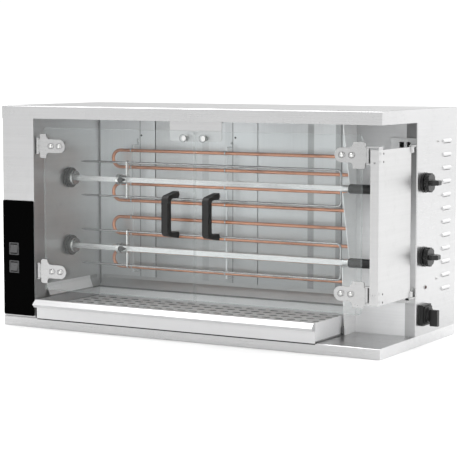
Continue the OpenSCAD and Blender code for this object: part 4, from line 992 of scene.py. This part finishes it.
class GRILL_OT_guard_rivets(bpy.types.Operator):
    """Set two rivets near each end of the side guard"""
    bl_idname = "grill.guard_rivets"
    bl_label = "Guard rivets"

    def execute(self, context):
        fitting = context.scene.grill_fitting
        steel = context.scene.grill_steel
        low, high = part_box("side_guard")
        heads = []
        for end, way in ((low.z, 1), (high.z, -1)):
            for inset in (fitting.rivet_ends, fitting.rivet_ends + fitting.rivet_step):
                foot = (high.x, low.y + fitting.rivet_inset, end + way * inset)
                heads.append((domed_head(fitting.rivet_radius, fitting.rivet_height),
                              turned_onto((1, 0, 0), foot)))
        finish = turned_steel("rivet_steel", steel.dark, (0, 1, 1), steel, roughness=0.3)
        new_piece("guard_rivets", joined(heads), finish, "guard")
        return {"FINISHED"}


class GRILL_OT_support_screws(bpy.types.Operator):
    """Set a dark screw in the oven's back above each heater support"""
    bl_idname = "grill.support_screws"
    bl_label = "Support screws"

    def execute(self, context):
        fitting = context.scene.grill_fitting
        steel = context.scene.grill_steel
        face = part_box("cavity_back")[0].y
        radius = fitting.support_screw_radius
        heads = []
        for low, high in loose_parts("element_supports"):
            foot = (low.x + fitting.support_screw_side, face, high.z + fitting.support_screw_rise)
            heads.append((recessed_head(radius, radius / 2, fitting.recess_share, fitting.recess_width),
                          turned_onto((0, -1, 0), foot)))
        finish = dark_steel("support_screw_steel", steel.dark, steel)
        new_piece("support_screws", joined(heads), finish, "cabinet")
        return {"FINISHED"}


class GRILL_OT_washers_and_shadows(bpy.types.Operator):
    """Lay a dark washer round each bolt head on the hinge leaves, which also paints the shadow ring round
    each head
    """
    bl_idname = "grill.bolt_washers"
    bl_label = "Bolt washers"

    def execute(self, context):
        fitting = context.scene.grill_fitting
        plastic = context.scene.grill_plastic
        for side in ("left", "right"):
            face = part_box("hinge_plates_" + side)[0].y
            rings = []
            for low, high in loose_parts("door_bolts_" + side):
                middle = (low + high) / 2
                inner = (high.z - low.z) / 2 + fitting.washer_play
                outer = inner + fitting.washer_width
                rings.append((spun([(inner, 0.0), (outer, 0.0), (outer, fitting.washer_height),
                                    (inner, fitting.washer_height)]),
                              turned_onto((0, -1, 0), (middle.x, face, middle.z))))
            # dark washers that also paint the shadow ring round each bolt head
            finish = moulded_plastic("washer_plastic_" + side, plastic.washer)
            new_piece("bolt_washers_" + side, joined(rings), finish, "door_" + side)
        return {"FINISHED"}


# ---------------------------------------------------------------- add-on

SETTINGS = {
    "grill_studio": GrillStudioSettings,
    "grill_steel": GrillSteelSettings,
    "grill_heater": GrillHeaterSettings,
    "grill_plastic": GrillPlasticSettings,
    "grill_glass": GrillGlassSettings,
    "grill_fitting": GrillFittingSettings,
}

OPERATORS = (
    GRILL_OT_studio,
    GRILL_OT_cabinet_sheets,
    GRILL_OT_oven_linings,
    GRILL_OT_glass_doors,
    GRILL_OT_spit_sets,
    GRILL_OT_heaters,
    GRILL_OT_controls,
    GRILL_OT_hidden_works,
    GRILL_OT_cover_screws,
    GRILL_OT_guard_rivets,
    GRILL_OT_support_screws,
    GRILL_OT_washers_and_shadows,
)


class GRILL_PT_panel(bpy.types.Panel):
    """The grill's pieces and their settings"""
    bl_idname = "GRILL_PT_panel"
    bl_label = "Skewer grill"
    bl_space_type = "VIEW_3D"
    bl_region_type = "UI"
    bl_category = "Grill"

    def draw(self, context):
        for operator in OPERATORS:
            self.layout.operator(operator.bl_idname)
        for name in SETTINGS:
            box = self.layout.box()
            group = getattr(context.scene, name)
            for key in group.__annotations__:
                box.prop(group, key)


def register():
    for group in SETTINGS.values():
        bpy.utils.register_class(group)
    for cls in (*OPERATORS, GRILL_PT_panel):
        bpy.utils.register_class(cls)
    for name, group in SETTINGS.items():
        setattr(bpy.types.Scene, name, bpy.props.PointerProperty(type=group))


def unregister():
    for name in SETTINGS:
        delattr(bpy.types.Scene, name)
    for cls in (GRILL_PT_panel, *OPERATORS):
        bpy.utils.unregister_class(cls)
    for group in SETTINGS.values():
        bpy.utils.unregister_class(group)


def main():
    register()
    for operator in OPERATORS:
        group, name = operator.bl_idname.split(".")
        getattr(getattr(bpy.ops, group), name)()


if __name__ == "__main__":
    main()
